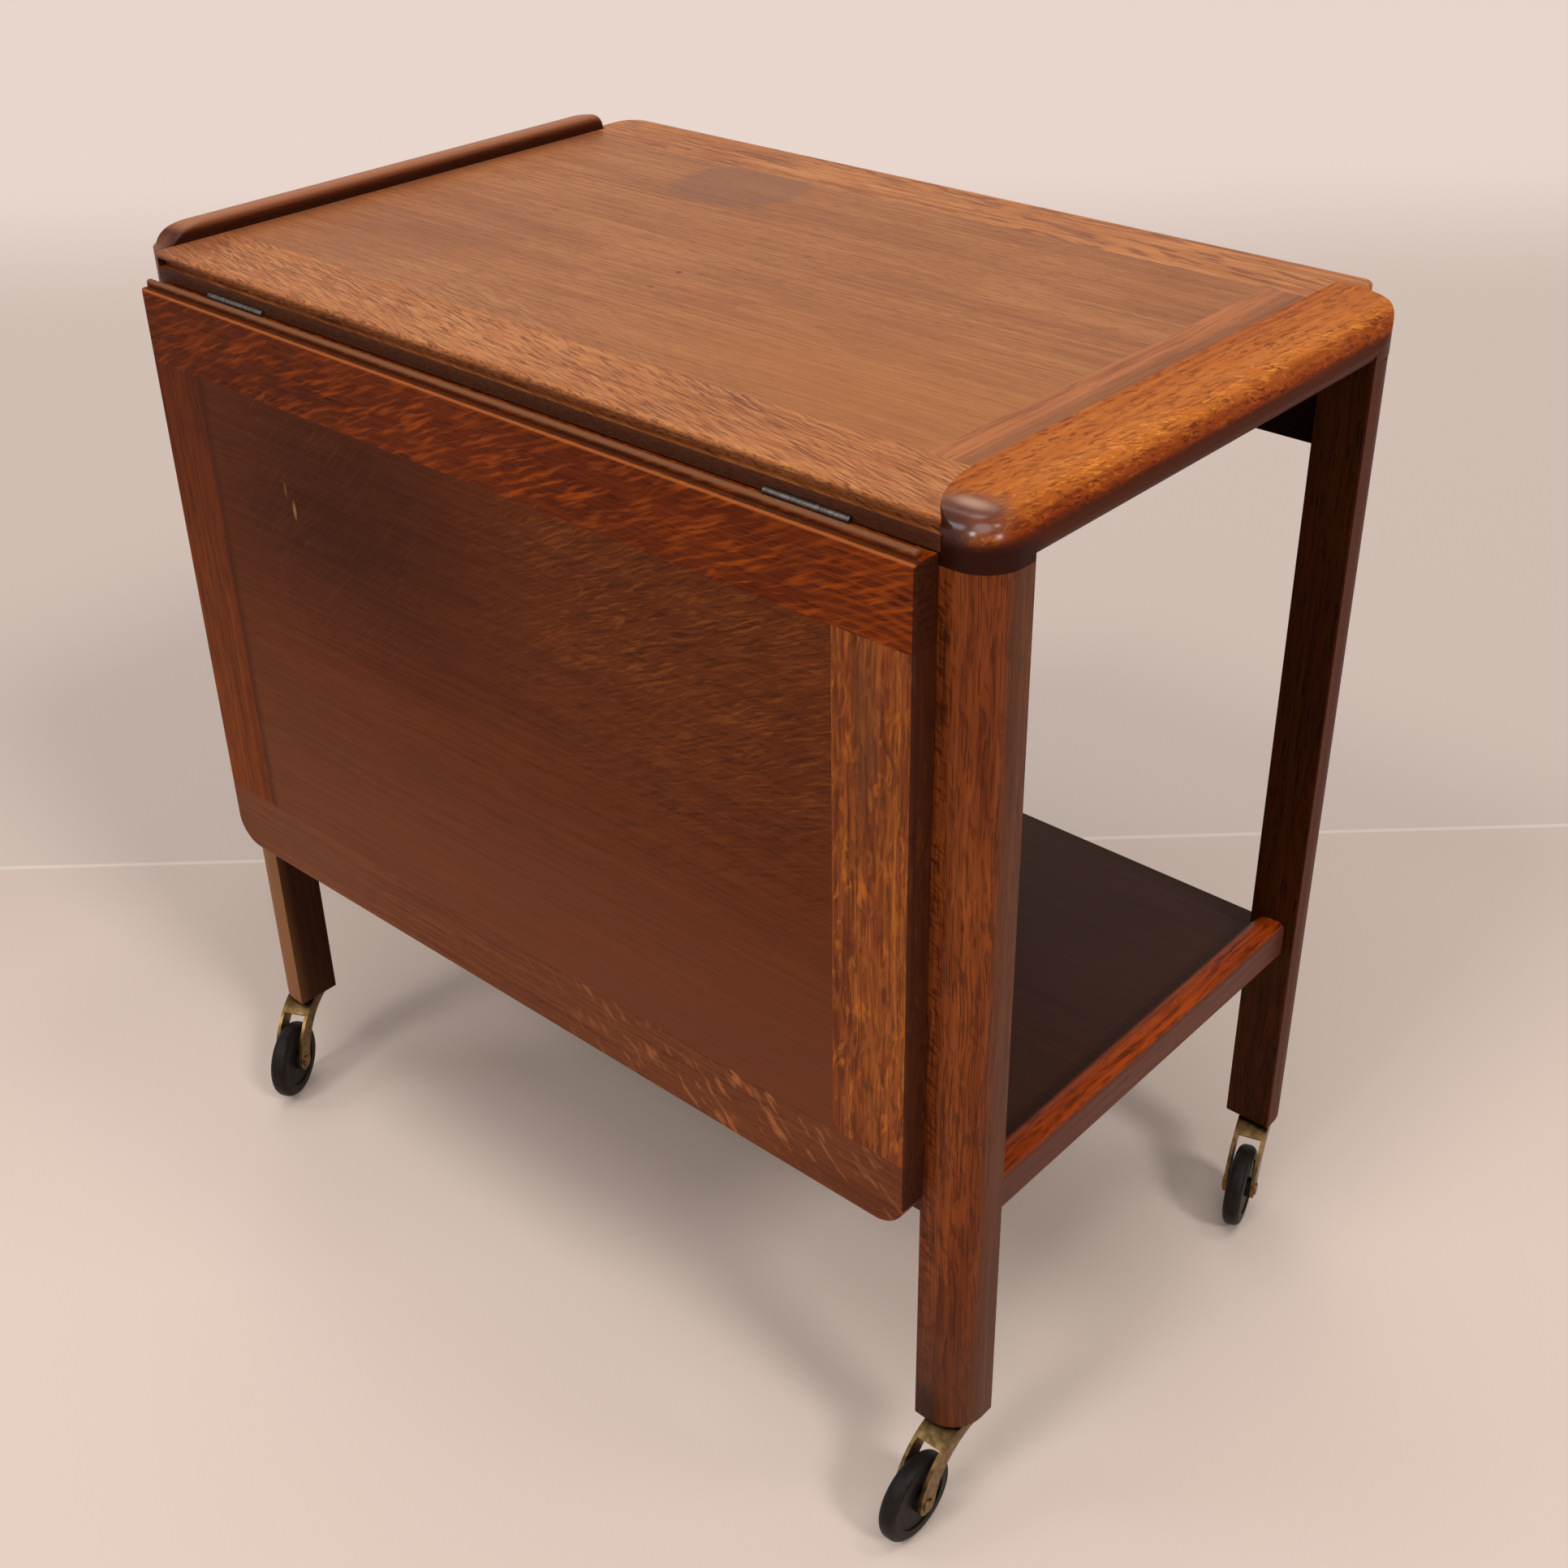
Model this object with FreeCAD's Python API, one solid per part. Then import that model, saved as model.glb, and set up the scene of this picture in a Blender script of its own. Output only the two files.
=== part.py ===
import FreeCAD
import Part
import math
import os

# Drop leaf tea trolley in oak. Sizes in mm, +Z up, floor at z = 0, the leaf hangs on the -Y side.

# Top
top_height = 700.0
top_thickness = 19.0
top_rear_overhang = 38.5
top_rail_width = 57.0
top_right_band_width = 27.0
top_rear_left_corner = 20.0
top_rear_right_corner = 8.0
top_rear_left_ear = 10.0
top_rear_right_tail = 18.0
top_edge_round = 1.5
top_rear_edge_round = 3.0

# End frames
frame_length = 710.0
frame_depth = 413.0
leg_width = 35.0
leg_depth = 34.0
leg_corner = 24.0
leg_bottom = 75.0
leg_foot_round = 2.0

# End rails on the legs
end_rail_thickness = 26.0
end_rail_width = 58.0
end_rail_top_round = 17.0
end_rail_under_round = 8.0
end_rail_rear_corner = 48.0
end_rail_rear_reach = 19.5
ball_curve_length = 63.5
ball_curve_width = 25.5
gallery_rise = 12.5
gallery_lip_width = 20.0
gallery_top_round = 12.0
gallery_inner_round = 3.0
gallery_front_round = 40.0

# Aprons under the top
apron_height = 69.0
apron_thickness = 18.0
rear_apron_inset = 8.0
front_apron_inset = 22.5
glue_block_side = 20.0
glue_block_length = 60.0
glue_block_spacing = 190.0

# Lower shelf
shelf_drop = 456.5
shelf_thickness = 10.0
shelf_depth = 386.0
shelf_tongue = 8.0
shelf_tongue_thickness = 6.0
shelf_tongue_inset = 8.0
shelf_rail_width = 26.5
shelf_rail_height = 27.0
shelf_rail_rise = 17.0
shelf_rail_outer_round = 5.0
shelf_rail_inner_round = 16.0
shelf_rail_under_round = 2.5

# Leaf
leaf_left_setback = 25.0
leaf_right_setback = 33.0
leaf_drop = 435.0
leaf_corner = 22.0
leaf_hinge_rail_width = 49.0
leaf_bottom_rail_width = 51.0
leaf_stile_width = 53.0
leaf_edge_round = 2.0
tongue_ledge = 5.5
tongue_thickness = 4.5
tongue_length = 4.5
tongue_tip_round = 1.8
tongue_right_stop = 4.0
groove_depth = 6.0
groove_over_tongue = 1.2

# Butt hinges
hinge_length = 58.0
hinge_left_inset = 81.5
hinge_right_inset = 84.0
hinge_flap_width = 22.0
hinge_flap_thickness = 2.0
hinge_knuckle_radius = 3.2
hinge_pin_radius = 1.5
hinge_screw_inset = 14.0
hinge_screw_spacing = 20.0

# Wood screws
screw_shank_radius = 1.7
screw_head_radius = 3.4
screw_length = 13.0

# Swinging arms that hold the raised leaf
arm_pivot_drop = 150.0
arm_pivot_inset = 14.0
arm_width = 22.0
arm_thickness = 12.0
arm_bolt_radius = 3.0
arm_bolt_head_radius = 6.0
arm_bolt_head_height = 3.0
arm_bolt_depth = 20.0
arm_washer_radius = 8.0
arm_washer_thickness = 1.0
arm_turn_per_leaf_turn = 1.5
catch_plate_length = 45.0
catch_plate_width = 14.0
catch_plate_thickness = 1.5
catch_lip_height = 1.8
catch_lip_thickness = 3.0
catch_screw_inset = 5.0
catch_plate_offset = 4.5

# Dowels
leg_dowel_radius = 5.0
leg_dowel_outset = 6.5
leg_dowel_in_leg = 22.0
leg_dowel_in_rail = 16.0
apron_dowel_radius = 4.0
apron_dowel_length = 40.0
apron_dowel_heights = (14.0, 30.0)
apron_dowel_edge = 1.5
shelf_dowel_radius = 5.0
shelf_dowel_length = 36.0
shelf_dowel_height = 14.5

# Casters
wheel_radius = 30.7
tyre_width = 13.0
tyre_round = 5.0
hub_radius = 21.0
hub_width = 11.0
hub_boss_radius = 7.5
caster_trail = 39.0
fork_gap = 18.0
fork_thickness = 2.5
fork_plate_front = 9.0
fork_plate_rear = 10.0
fork_eye_radius = 7.5
fork_arm_root = 7.0
fork_web_share = 0.28
fork_shoulder_along = 0.68
fork_shoulder_up = 0.63
fork_hollow_along = 0.66
fork_hollow_up = 0.56
axle_radius = 3.0
axle_head_radius = 4.6
axle_head_height = 1.2
stem_radius = 4.0
stem_length = 35.0
stem_head_radius = 6.0
stem_head_height = 1.5
socket_radius = 6.0
socket_flange_radius = 11.0
socket_flange_thickness = 1.2
caster_angle_front_right = 270.0
caster_angle_rear_right = 287.0
caster_angle_front_left = 298.0
caster_angle_rear_left = 285.0

# Clearances
running_gap = 0.05
press_gap = 0.02
moving_gap = 0.3
leaf_gap = 0.4
leaf_back_gap = 0.5
dowel_end_gap = 1.0
cut_past = 1.0
same_place = 1e-4

# Derived positions
half_length = frame_length / 2
half_depth = frame_depth / 2
front_face = -half_depth
rear_edge = half_depth + top_rear_overhang
leg_inner = half_length - leg_width
leg_inner_y = half_depth - leg_depth
leg_middle_x = half_length - leg_width / 2
leg_middle_y = half_depth - leg_depth / 2
rail_bottom = top_height - end_rail_thickness
under_top = top_height - top_thickness
right_rail_inner = half_length - end_rail_width
board_left = -half_length + gallery_lip_width
shelf_height = top_height - shelf_drop
leaf_left = -half_length + leaf_left_setback
leaf_right = half_length - leaf_right_setback
hinge_centres = (leaf_left + hinge_left_inset, leaf_right - hinge_right_inset)
front_rail_back = front_face + top_rail_width
rear_rail_front = rear_edge - top_rail_width
band_left = right_rail_inner - top_right_band_width
leaf_outer = front_face - top_thickness
leaf_inner = front_face - leaf_back_gap
leaf_top = under_top - leaf_gap
leaf_bottom = under_top - leaf_drop
tongue_front = leaf_outer + tongue_ledge
tongue_back = tongue_front + tongue_thickness
tongue_above_axis = front_face - tongue_back
groove_low = under_top + tongue_above_axis - moving_gap
groove_high = under_top + tongue_above_axis + tongue_thickness + groove_over_tongue
arm_pivot_y = front_face + arm_pivot_inset
arm_pivot_z = under_top - arm_pivot_drop
arm_outer_x = leg_inner - arm_washer_thickness - moving_gap
arm_inner_x = arm_outer_x - arm_thickness
arm_lean = math.radians(90.0 * (arm_turn_per_leaf_turn - 1.0))
arm_tip_gap = arm_width / 2 + moving_gap + catch_plate_thickness - leaf_back_gap
arm_length = (arm_pivot_drop - arm_tip_gap) / math.sin(arm_lean)
arm_tip_reach = arm_length * math.cos(arm_lean) - arm_pivot_inset
fork_top = leg_bottom - socket_flange_thickness - moving_gap
fork_under = fork_top - fork_thickness
fork_half = fork_gap / 2 + fork_thickness
socket_top = leg_bottom + stem_length + dowel_end_gap


def at(x, y, z):
    return FreeCAD.Vector(x, y, z)


def box(x0, x1, y0, y1, z0, z1):
    return Part.makeBox(x1 - x0, y1 - y0, z1 - z0, at(x0, y0, z0))


def rod(radius, start, end):
    run = end - start
    return Part.makeCylinder(radius, run.Length, start, run)


def line(p, q):
    return Part.LineSegment(p, q).toShape()


def arc(p, middle, q):
    return Part.Arc(p, middle, q).toShape()


def prism(edges, run):
    return Part.Face(Part.Wire(edges)).extrude(run)


def corner_arc(corner_x, corner_y, radius, sign_x, sign_y, z):
    centre_x = corner_x - sign_x * radius
    centre_y = corner_y - sign_y * radius
    reach = radius / math.sqrt(2.0)
    return at(centre_x + sign_x * reach, centre_y + sign_y * reach, z)


def corner_waste(corner_x, corner_y, radius, sign_x, sign_y, z0, z1):
    centre_x = corner_x - sign_x * radius
    centre_y = corner_y - sign_y * radius
    low_x, high_x = sorted((centre_x, corner_x + sign_x))
    low_y, high_y = sorted((centre_y, corner_y + sign_y))
    block = box(low_x, high_x, low_y, high_y, z0, z1)
    return block.cut(rod(radius, at(centre_x, centre_y, z0 - 1), at(centre_x, centre_y, z1 + 1)))


def near(a, b):
    return abs(a - b) < same_place


def edges_at_height(shape, z):
    return [e for e in shape.Edges if near(e.BoundBox.ZMin, z) and near(e.BoundBox.ZMax, z)]


def touches(edge, point):
    return any(v.Point.distanceToPoint(point) < same_place for v in edge.Vertexes)


def under_round(x_outer, sign, z, y0, y1, radius):
    centre_x = x_outer - sign * radius
    low, high = sorted((centre_x, x_outer + sign))
    block = box(low, high, y0, y1, z - 1, z + radius)
    return block.cut(rod(radius, at(centre_x, y0 - 1, z + radius), at(centre_x, y1 + 1, z + radius)))


# Fasteners and dowels

def dowel(radius, start, end):
    return rod(radius, start, end)


def dowel_hole(radius, start, end):
    run = (end - start).normalize()
    return rod(radius + press_gap, start - run * dowel_end_gap, end + run * dowel_end_gap)


def leg_dowel_places():
    places = []
    for sx in (-1, 1):
        for sy in (-1, 1):
            x = sx * leg_middle_x
            y = sy * (leg_middle_y + leg_dowel_outset)
            foot = at(x, y, rail_bottom - leg_dowel_in_leg)
            head = at(x, y, rail_bottom + leg_dowel_in_rail)
            places.append((foot, head))
    return places


def apron_middle(side):
    inset = front_apron_inset if side < 0 else rear_apron_inset
    return side * (half_depth - inset - apron_thickness / 2)


def apron_dowel_y(side):
    return side * max(abs(apron_middle(side)), leg_inner_y + apron_dowel_radius + apron_dowel_edge)


def apron_dowel_places():
    places = []
    half = apron_dowel_length / 2
    for sx in (-1, 1):
        for sy in (-1, 1):
            for height in apron_dowel_heights:
                z = under_top - apron_height + height
                y = apron_dowel_y(sy)
                places.append((at(sx * (leg_inner - half), y, z), at(sx * (leg_inner + half), y, z)))
    return places


def shelf_dowel_places():
    places = []
    half = shelf_dowel_length / 2
    z = shelf_height + shelf_rail_rise - shelf_rail_height + shelf_dowel_height
    for sx in (-1, 1):
        x = sx * (leg_inner + shelf_rail_width / 2)
        for sy in (-1, 1):
            places.append((at(x, sy * (leg_inner_y - half), z), at(x, sy * (leg_inner_y + half), z)))
    return places


def dowel_group(radius, places):
    return Part.makeCompound([dowel(radius, start, end) for start, end in places])


def wood_screw(head, direction):
    depth = screw_head_radius - screw_shank_radius
    cone = Part.makeCone(screw_head_radius, screw_shank_radius, depth, head, direction)
    neck = head + direction * depth
    return cone.fuse(rod(screw_shank_radius, neck, head + direction * screw_length)).removeSplitter()


def wood_screws(places):
    return Part.makeCompound([wood_screw(head, direction) for head, direction in places])


def screw_hole(head, direction):
    depth = screw_head_radius - screw_shank_radius
    shank = screw_shank_radius + press_gap
    cone = Part.makeCone(screw_head_radius + press_gap, shank, depth, head, direction)
    return cone.fuse(rod(shank, head, head + direction * (screw_length + dowel_end_gap)))


# Top

def end_rail_block():
    z = rail_bottom
    y_bend = front_face + ball_curve_length
    x_tip = right_rail_inner + ball_curve_width
    radius = (ball_curve_width ** 2 + ball_curve_length ** 2) / (2 * ball_curve_width)
    half_sweep = math.asin(ball_curve_length / radius) / 2
    bend_x = right_rail_inner + radius - radius * math.cos(half_sweep)
    bend_y = y_bend - radius * math.sin(half_sweep)
    y_rear = half_depth + end_rail_rear_reach
    inner_rear = at(right_rail_inner, y_rear, z)
    bend = at(right_rail_inner, y_bend, z)
    tip = at(x_tip, front_face, z)
    front_start = at(half_length - leg_corner, front_face, z)
    front_end = at(half_length, front_face + leg_corner, z)
    outer_rear = at(half_length, y_rear, z)
    edges = [
        line(inner_rear, bend),
        arc(bend, at(bend_x, bend_y, z), tip),
        line(tip, front_start),
        arc(front_start, corner_arc(half_length, front_face, leg_corner, 1, -1, z), front_end),
        line(front_end, outer_rear),
        line(outer_rear, inner_rear),
    ]
    return prism(edges, at(0, 0, end_rail_thickness))


def end_rail_rear_waste():
    y_rear = half_depth + end_rail_rear_reach
    low = rail_bottom - cut_past
    high = top_height + cut_past
    return corner_waste(half_length, y_rear, end_rail_rear_corner, 1, 1, low, high)


def right_end_rail():
    block = end_rail_block()
    bend = at(right_rail_inner, front_face + ball_curve_length, top_height)
    inner_rear = at(right_rail_inner, half_depth + end_rail_rear_reach, top_height)
    upper = edges_at_height(block, top_height)
    nose = [e for e in upper if not touches(e, bend) and not touches(e, inner_rear)]
    rail = block.makeFillet(end_rail_top_round, nose).cut(end_rail_rear_waste())
    rail = rail.cut(under_round(half_length, 1, rail_bottom, -leg_inner_y, leg_inner_y,
                                end_rail_under_round))
    return rail.cut([dowel_hole(leg_dowel_radius, *p) for p in leg_dowel_places()])


def gallery_front_waste(gallery_top):
    centre_y = front_face + gallery_front_round
    centre_z = gallery_top - gallery_front_round
    x0 = -half_length - cut_past
    x1 = board_left + cut_past
    block = box(x0, x1, front_face - cut_past, centre_y, top_height, gallery_top + cut_past)
    start = at(x0 - cut_past, centre_y, centre_z)
    end = at(x1 + cut_past, centre_y, centre_z)
    return block.cut(rod(gallery_front_round, start, end))


def left_gallery_rail():
    z = rail_bottom
    gallery_top = top_height + gallery_rise
    x_out = -half_length
    x_in = -leg_inner
    edges = [
        line(at(x_in, front_face, z), at(x_in, half_depth, z)),
        line(at(x_in, half_depth, z), at(x_out + leg_corner, half_depth, z)),
        arc(at(x_out + leg_corner, half_depth, z), corner_arc(x_out, half_depth, leg_corner, -1, 1, z),
            at(x_out, half_depth - leg_corner, z)),
        line(at(x_out, half_depth - leg_corner, z), at(x_out, front_face + leg_corner, z)),
        arc(at(x_out, front_face + leg_corner, z), corner_arc(x_out, front_face, leg_corner, -1, -1, z),
            at(x_out + leg_corner, front_face, z)),
        line(at(x_out + leg_corner, front_face, z), at(x_in, front_face, z)),
    ]
    block = prism(edges, at(0, 0, gallery_top - z))
    nose = [e for e in edges_at_height(block, gallery_top) if e.BoundBox.XMin < x_in - cut_past]
    rail = block.makeFillet(gallery_top_round, nose)
    rail = rail.cut(box(board_left, x_in + cut_past, -half_depth - cut_past, half_depth + cut_past,
                        under_top, gallery_top + cut_past))
    rail = rail.cut(gallery_front_waste(gallery_top))
    arris = [e for e in edges_at_height(rail, gallery_top) if near(e.BoundBox.XMax, board_left)]
    rail = rail.makeFillet(gallery_inner_round, arris)
    rail = rail.cut(under_round(x_out, -1, rail_bottom, -leg_inner_y, leg_inner_y, end_rail_under_round))
    return rail.cut([dowel_hole(leg_dowel_radius, *p) for p in leg_dowel_places()])


def top_front_rail():
    ball_tip = right_rail_inner + ball_curve_width
    board = box(board_left, ball_tip, front_face, front_rail_back, under_top, top_height)
    arris = [e for e in edges_at_height(board, top_height) if near(e.BoundBox.YMax, front_face)]
    board = board.makeFillet(top_edge_round, arris).cut(end_rail_block())
    board = board.cut(box(-half_length, half_length, front_face - cut_past, front_face + groove_depth,
                          groove_low, groove_high))
    cuts = [dowel_hole(leg_dowel_radius, *p) for p in leg_dowel_places()]
    for x in hinge_centres:
        cuts.append(hinge_recess(x))
        half = hinge_length / 2 + press_gap
        cuts.append(box(x - half, x + half, front_face, front_face + hinge_flap_width + press_gap,
                        under_top - cut_past, under_top + hinge_flap_thickness))
        cuts.extend(screw_hole(*s) for s in top_hinge_screw_places(x))
    return board.cut(cuts)


def top_rear_rail():
    right = right_rail_inner + top_rear_right_tail
    ear = board_left - top_rear_left_ear
    low = under_top - cut_past
    high = top_height + cut_past
    board = box(board_left, right, rear_rail_front, rear_edge, under_top, top_height)
    left_ear = box(ear, board_left, half_depth, rear_edge, under_top, top_height)
    board = board.fuse(left_ear).removeSplitter()
    board = board.cut([corner_waste(ear, rear_edge, top_rear_left_corner, -1, 1, low, high),
                       corner_waste(right, rear_edge, top_rear_right_corner, 1, 1, low, high)])
    back = [e for e in board.Edges if near(e.BoundBox.YMin, rear_edge) and near(e.BoundBox.ZLength, 0)]
    board = board.makeFillet(top_rear_edge_round, back)
    board = board.cut(end_rail_block().cut(end_rail_rear_waste()))
    return board.cut([dowel_hole(leg_dowel_radius, *p) for p in leg_dowel_places()])


def top_right_band():
    return box(band_left, right_rail_inner, front_rail_back, rear_rail_front, under_top, top_height)


def top_panel():
    return box(board_left, band_left, front_rail_back, rear_rail_front, under_top, top_height)


# End frames and aprons

def leg(side_x, side_y):
    z = leg_bottom
    x_in = side_x * leg_inner
    x_out = side_x * half_length
    y_in = side_y * leg_inner_y
    y_out = side_y * half_depth
    round_start = at(x_out, y_out - side_y * leg_corner, z)
    round_end = at(x_out - side_x * leg_corner, y_out, z)
    edges = [
        line(at(x_in, y_in, z), at(x_out, y_in, z)),
        line(at(x_out, y_in, z), round_start),
        arc(round_start, corner_arc(x_out, y_out, leg_corner, side_x, side_y, z), round_end),
        line(round_end, at(x_in, y_out, z)),
        line(at(x_in, y_out, z), at(x_in, y_in, z)),
    ]
    post = prism(edges, at(0, 0, rail_bottom - leg_bottom))
    post = post.makeFillet(leg_foot_round, edges_at_height(post, leg_bottom))
    x = side_x * leg_middle_x
    y = side_y * leg_middle_y
    socket_foot = at(x, y, leg_bottom - cut_past)
    cuts = [rod(socket_radius + press_gap, socket_foot, at(x, y, socket_top + dowel_end_gap))]
    cuts += [dowel_hole(leg_dowel_radius, *p) for p in leg_dowel_places()]
    cuts += [dowel_hole(apron_dowel_radius, *p) for p in apron_dowel_places()]
    cuts += [dowel_hole(shelf_dowel_radius, *p) for p in shelf_dowel_places()]
    if side_y < 0:
        bolt_end = x_in + side_x * (arm_bolt_depth + dowel_end_gap)
        cuts.append(on_arm_pivot(arm_bolt_radius + press_gap, x_in - side_x, bolt_end))
    return post.cut(cuts)


def apron(side_y):
    middle = apron_middle(side_y)
    y0 = middle - apron_thickness / 2
    y1 = middle + apron_thickness / 2
    board = box(-leg_inner, leg_inner, y0, y1, under_top - apron_height, under_top)
    board = board.cut(end_rail_block())
    return board.cut([dowel_hole(apron_dowel_radius, *p) for p in apron_dowel_places()])


def glue_blocks():
    blocks = []
    for side in (-1, 1):
        inner = apron_middle(side) - side * apron_thickness / 2
        y0, y1 = sorted((inner, inner - side * glue_block_side))
        for place in (-1, 0, 1):
            x = place * glue_block_spacing
            blocks.append(box(x - glue_block_length / 2, x + glue_block_length / 2, y0, y1,
                              under_top - glue_block_side, under_top))
    return Part.makeCompound(blocks)


# Lower shelf

def shelf_panel():
    low = shelf_height - shelf_thickness
    body = box(-leg_inner, leg_inner, -shelf_depth / 2, shelf_depth / 2, low, shelf_height)
    reach = leg_inner + shelf_tongue
    tongue_y = leg_inner_y - shelf_tongue_inset
    tongue = box(-reach, reach, -tongue_y, tongue_y, low, low + shelf_tongue_thickness)
    return body.fuse(tongue).removeSplitter()


def long_edge(bar, x, z):
    ends = (at(x, -leg_inner_y, z), at(x, leg_inner_y, z))
    return [e for e in bar.Edges if all(touches(e, end) for end in ends)]


def shelf_rail(side):
    bottom = shelf_height + shelf_rail_rise - shelf_rail_height
    top = bottom + shelf_rail_height
    x_in = side * leg_inner
    x_out = side * (leg_inner + shelf_rail_width)
    low, high = sorted((x_in, x_out))
    rail = box(low, high, -leg_inner_y, leg_inner_y, bottom, top)
    rail = rail.makeFillet(shelf_rail_outer_round, long_edge(rail, x_out, top))
    rail = rail.makeFillet(shelf_rail_inner_round, long_edge(rail, x_in, top))
    rail = rail.makeFillet(shelf_rail_under_round, long_edge(rail, x_out, bottom))
    groove_low_x, groove_high_x = sorted((x_in - side, side * (leg_inner + shelf_tongue + press_gap)))
    groove_y = leg_inner_y - shelf_tongue_inset + press_gap
    groove = box(groove_low_x, groove_high_x, -groove_y, groove_y,
                 shelf_height - shelf_thickness - press_gap,
                 shelf_height - shelf_thickness + shelf_tongue_thickness + press_gap)
    return rail.cut([groove] + [dowel_hole(shelf_dowel_radius, *p) for p in shelf_dowel_places()])


# Leaf

def on_hinge_line(radius, x0, x1):
    return rod(radius, at(x0, front_face, under_top), at(x1, front_face, under_top))


def hinge_recess(x):
    half = hinge_length / 2 + moving_gap
    return on_hinge_line(hinge_knuckle_radius + moving_gap, x - half, x + half)


def soften_leaf(board, keep_low, keep_high, ends):
    shown = []
    for e in board.Edges:
        bound = e.BoundBox
        on_face = near(bound.YMax, leaf_outer)
        on_low = near(bound.ZMax, keep_low)
        on_high = near(bound.ZMin, keep_high)
        on_side = bound.XLength < same_place and not any(near(bound.XMin, x) for x in ends)
        if on_face and not on_low and not on_high and not on_side:
            shown.append(e)
    return board.makeFillet(leaf_edge_round, shown)


def leaf_hinge_rail():
    low = leaf_top - leaf_hinge_rail_width
    board = box(leaf_left, leaf_right, leaf_outer, leaf_inner, low, leaf_top)
    board = soften_leaf(board, low, leaf_top + cut_past, (leaf_left, leaf_right))
    tongue_top = leaf_top + tongue_length
    tongue = box(leaf_left, leaf_right - tongue_right_stop, tongue_front, tongue_back,
                 leaf_top - cut_past, tongue_top)
    tips = [e for e in edges_at_height(tongue, tongue_top) if e.BoundBox.XLength > e.BoundBox.YLength]
    board = board.fuse(tongue.makeFillet(tongue_tip_round, tips)).removeSplitter()
    cuts = []
    for x in hinge_centres:
        cuts.append(hinge_recess(x))
        half = hinge_length / 2 + press_gap
        cuts.append(box(x - half, x + half, leaf_inner - hinge_flap_thickness, leaf_inner + cut_past,
                        under_top - hinge_flap_width - press_gap, leaf_top + cut_past))
        cuts.extend(screw_hole(*s) for s in leaf_hinge_screw_places(x))
    return board.cut(cuts)


def leaf_bottom_rail():
    high = leaf_bottom + leaf_bottom_rail_width
    board = box(leaf_left, leaf_right, leaf_outer, leaf_inner, leaf_bottom, high)
    waste = []
    for sign, x in ((-1, leaf_left), (1, leaf_right)):
        outer = leaf_outer - cut_past
        inner = leaf_inner + cut_past
        centre = at(x - sign * leaf_corner, outer, leaf_bottom + leaf_corner)
        low_x, high_x = sorted((centre.x, x + sign))
        block = box(low_x, high_x, outer, inner, leaf_bottom - cut_past, centre.z)
        waste.append(block.cut(rod(leaf_corner, centre, at(centre.x, inner, centre.z))))
    return soften_leaf(board.cut(waste), leaf_bottom - cut_past, high, (leaf_left, leaf_right))


def leaf_middle(x0, x1):
    low = leaf_bottom + leaf_bottom_rail_width
    return box(x0, x1, leaf_outer, leaf_inner, low, leaf_top - leaf_hinge_rail_width)


def leaf_stile(side):
    if side < 0:
        board = leaf_middle(leaf_left, leaf_left + leaf_stile_width)
    else:
        board = leaf_middle(leaf_right - leaf_stile_width, leaf_right)
    low = leaf_bottom + leaf_bottom_rail_width
    high = leaf_top - leaf_hinge_rail_width
    board = soften_leaf(board, low, high, (leaf_left, leaf_right))
    return board.cut([screw_hole(*s) for s in catch_screw_places(side)])


def leaf_panel():
    return leaf_middle(leaf_left + leaf_stile_width, leaf_right - leaf_stile_width)


# Hinges

def knuckle(x0, x1):
    return on_hinge_line(hinge_knuckle_radius, x0, x1)


def hinge_spans(x):
    third = hinge_length / 3
    low = x - hinge_length / 2
    ends = ((low, low + third - moving_gap), (low + 2 * third + moving_gap, low + hinge_length))
    return ends, (low + third, low + 2 * third)


def top_hinge_screw_places(x):
    y = front_face + hinge_screw_inset
    return [(at(x + i * hinge_screw_spacing, y, under_top), at(0, 0, 1)) for i in (-1, 0, 1)]


def leaf_hinge_screw_places(x):
    z = under_top - hinge_screw_inset
    return [(at(x + i * hinge_screw_spacing, leaf_inner, z), at(0, -1, 0)) for i in (-1, 0, 1)]


def pin_bore(x, gap):
    return on_hinge_line(hinge_pin_radius + gap, x - hinge_length, x + hinge_length)


def clear_of_knuckle(x0, x1):
    return on_hinge_line(hinge_knuckle_radius + moving_gap, x0 - moving_gap, x1 + moving_gap)


def hinge_top_flap(x):
    ends, middle = hinge_spans(x)
    low = x - hinge_length / 2
    flap = box(low, low + hinge_length, front_face, front_face + hinge_flap_width,
               under_top, under_top + hinge_flap_thickness)
    flap = flap.cut(clear_of_knuckle(*middle))
    for span in ends:
        flap = flap.fuse(knuckle(*span))
    flap = flap.removeSplitter().cut(pin_bore(x, press_gap))
    return flap.cut([screw_hole(*s) for s in top_hinge_screw_places(x)])


def hinge_leaf_flap(x):
    ends, middle = hinge_spans(x)
    low = x - hinge_length / 2
    flap = box(low, low + hinge_length, leaf_inner - hinge_flap_thickness, leaf_inner,
               under_top - hinge_flap_width, under_top)
    (_, left_end), (right_start, _) = ends
    flap = flap.cut([clear_of_knuckle(low - cut_past, left_end),
                     clear_of_knuckle(right_start, low + hinge_length + cut_past)])
    flap = flap.fuse(knuckle(*middle)).removeSplitter().cut(pin_bore(x, running_gap))
    return flap.cut([screw_hole(*s) for s in leaf_hinge_screw_places(x)])


def hinge_pin(x):
    half = hinge_length / 2
    return on_hinge_line(hinge_pin_radius, x - half, x + half)


# Leaf support

def on_arm_pivot(radius, x0, x1):
    return rod(radius, at(x0, arm_pivot_y, arm_pivot_z), at(x1, arm_pivot_y, arm_pivot_z))


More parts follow.
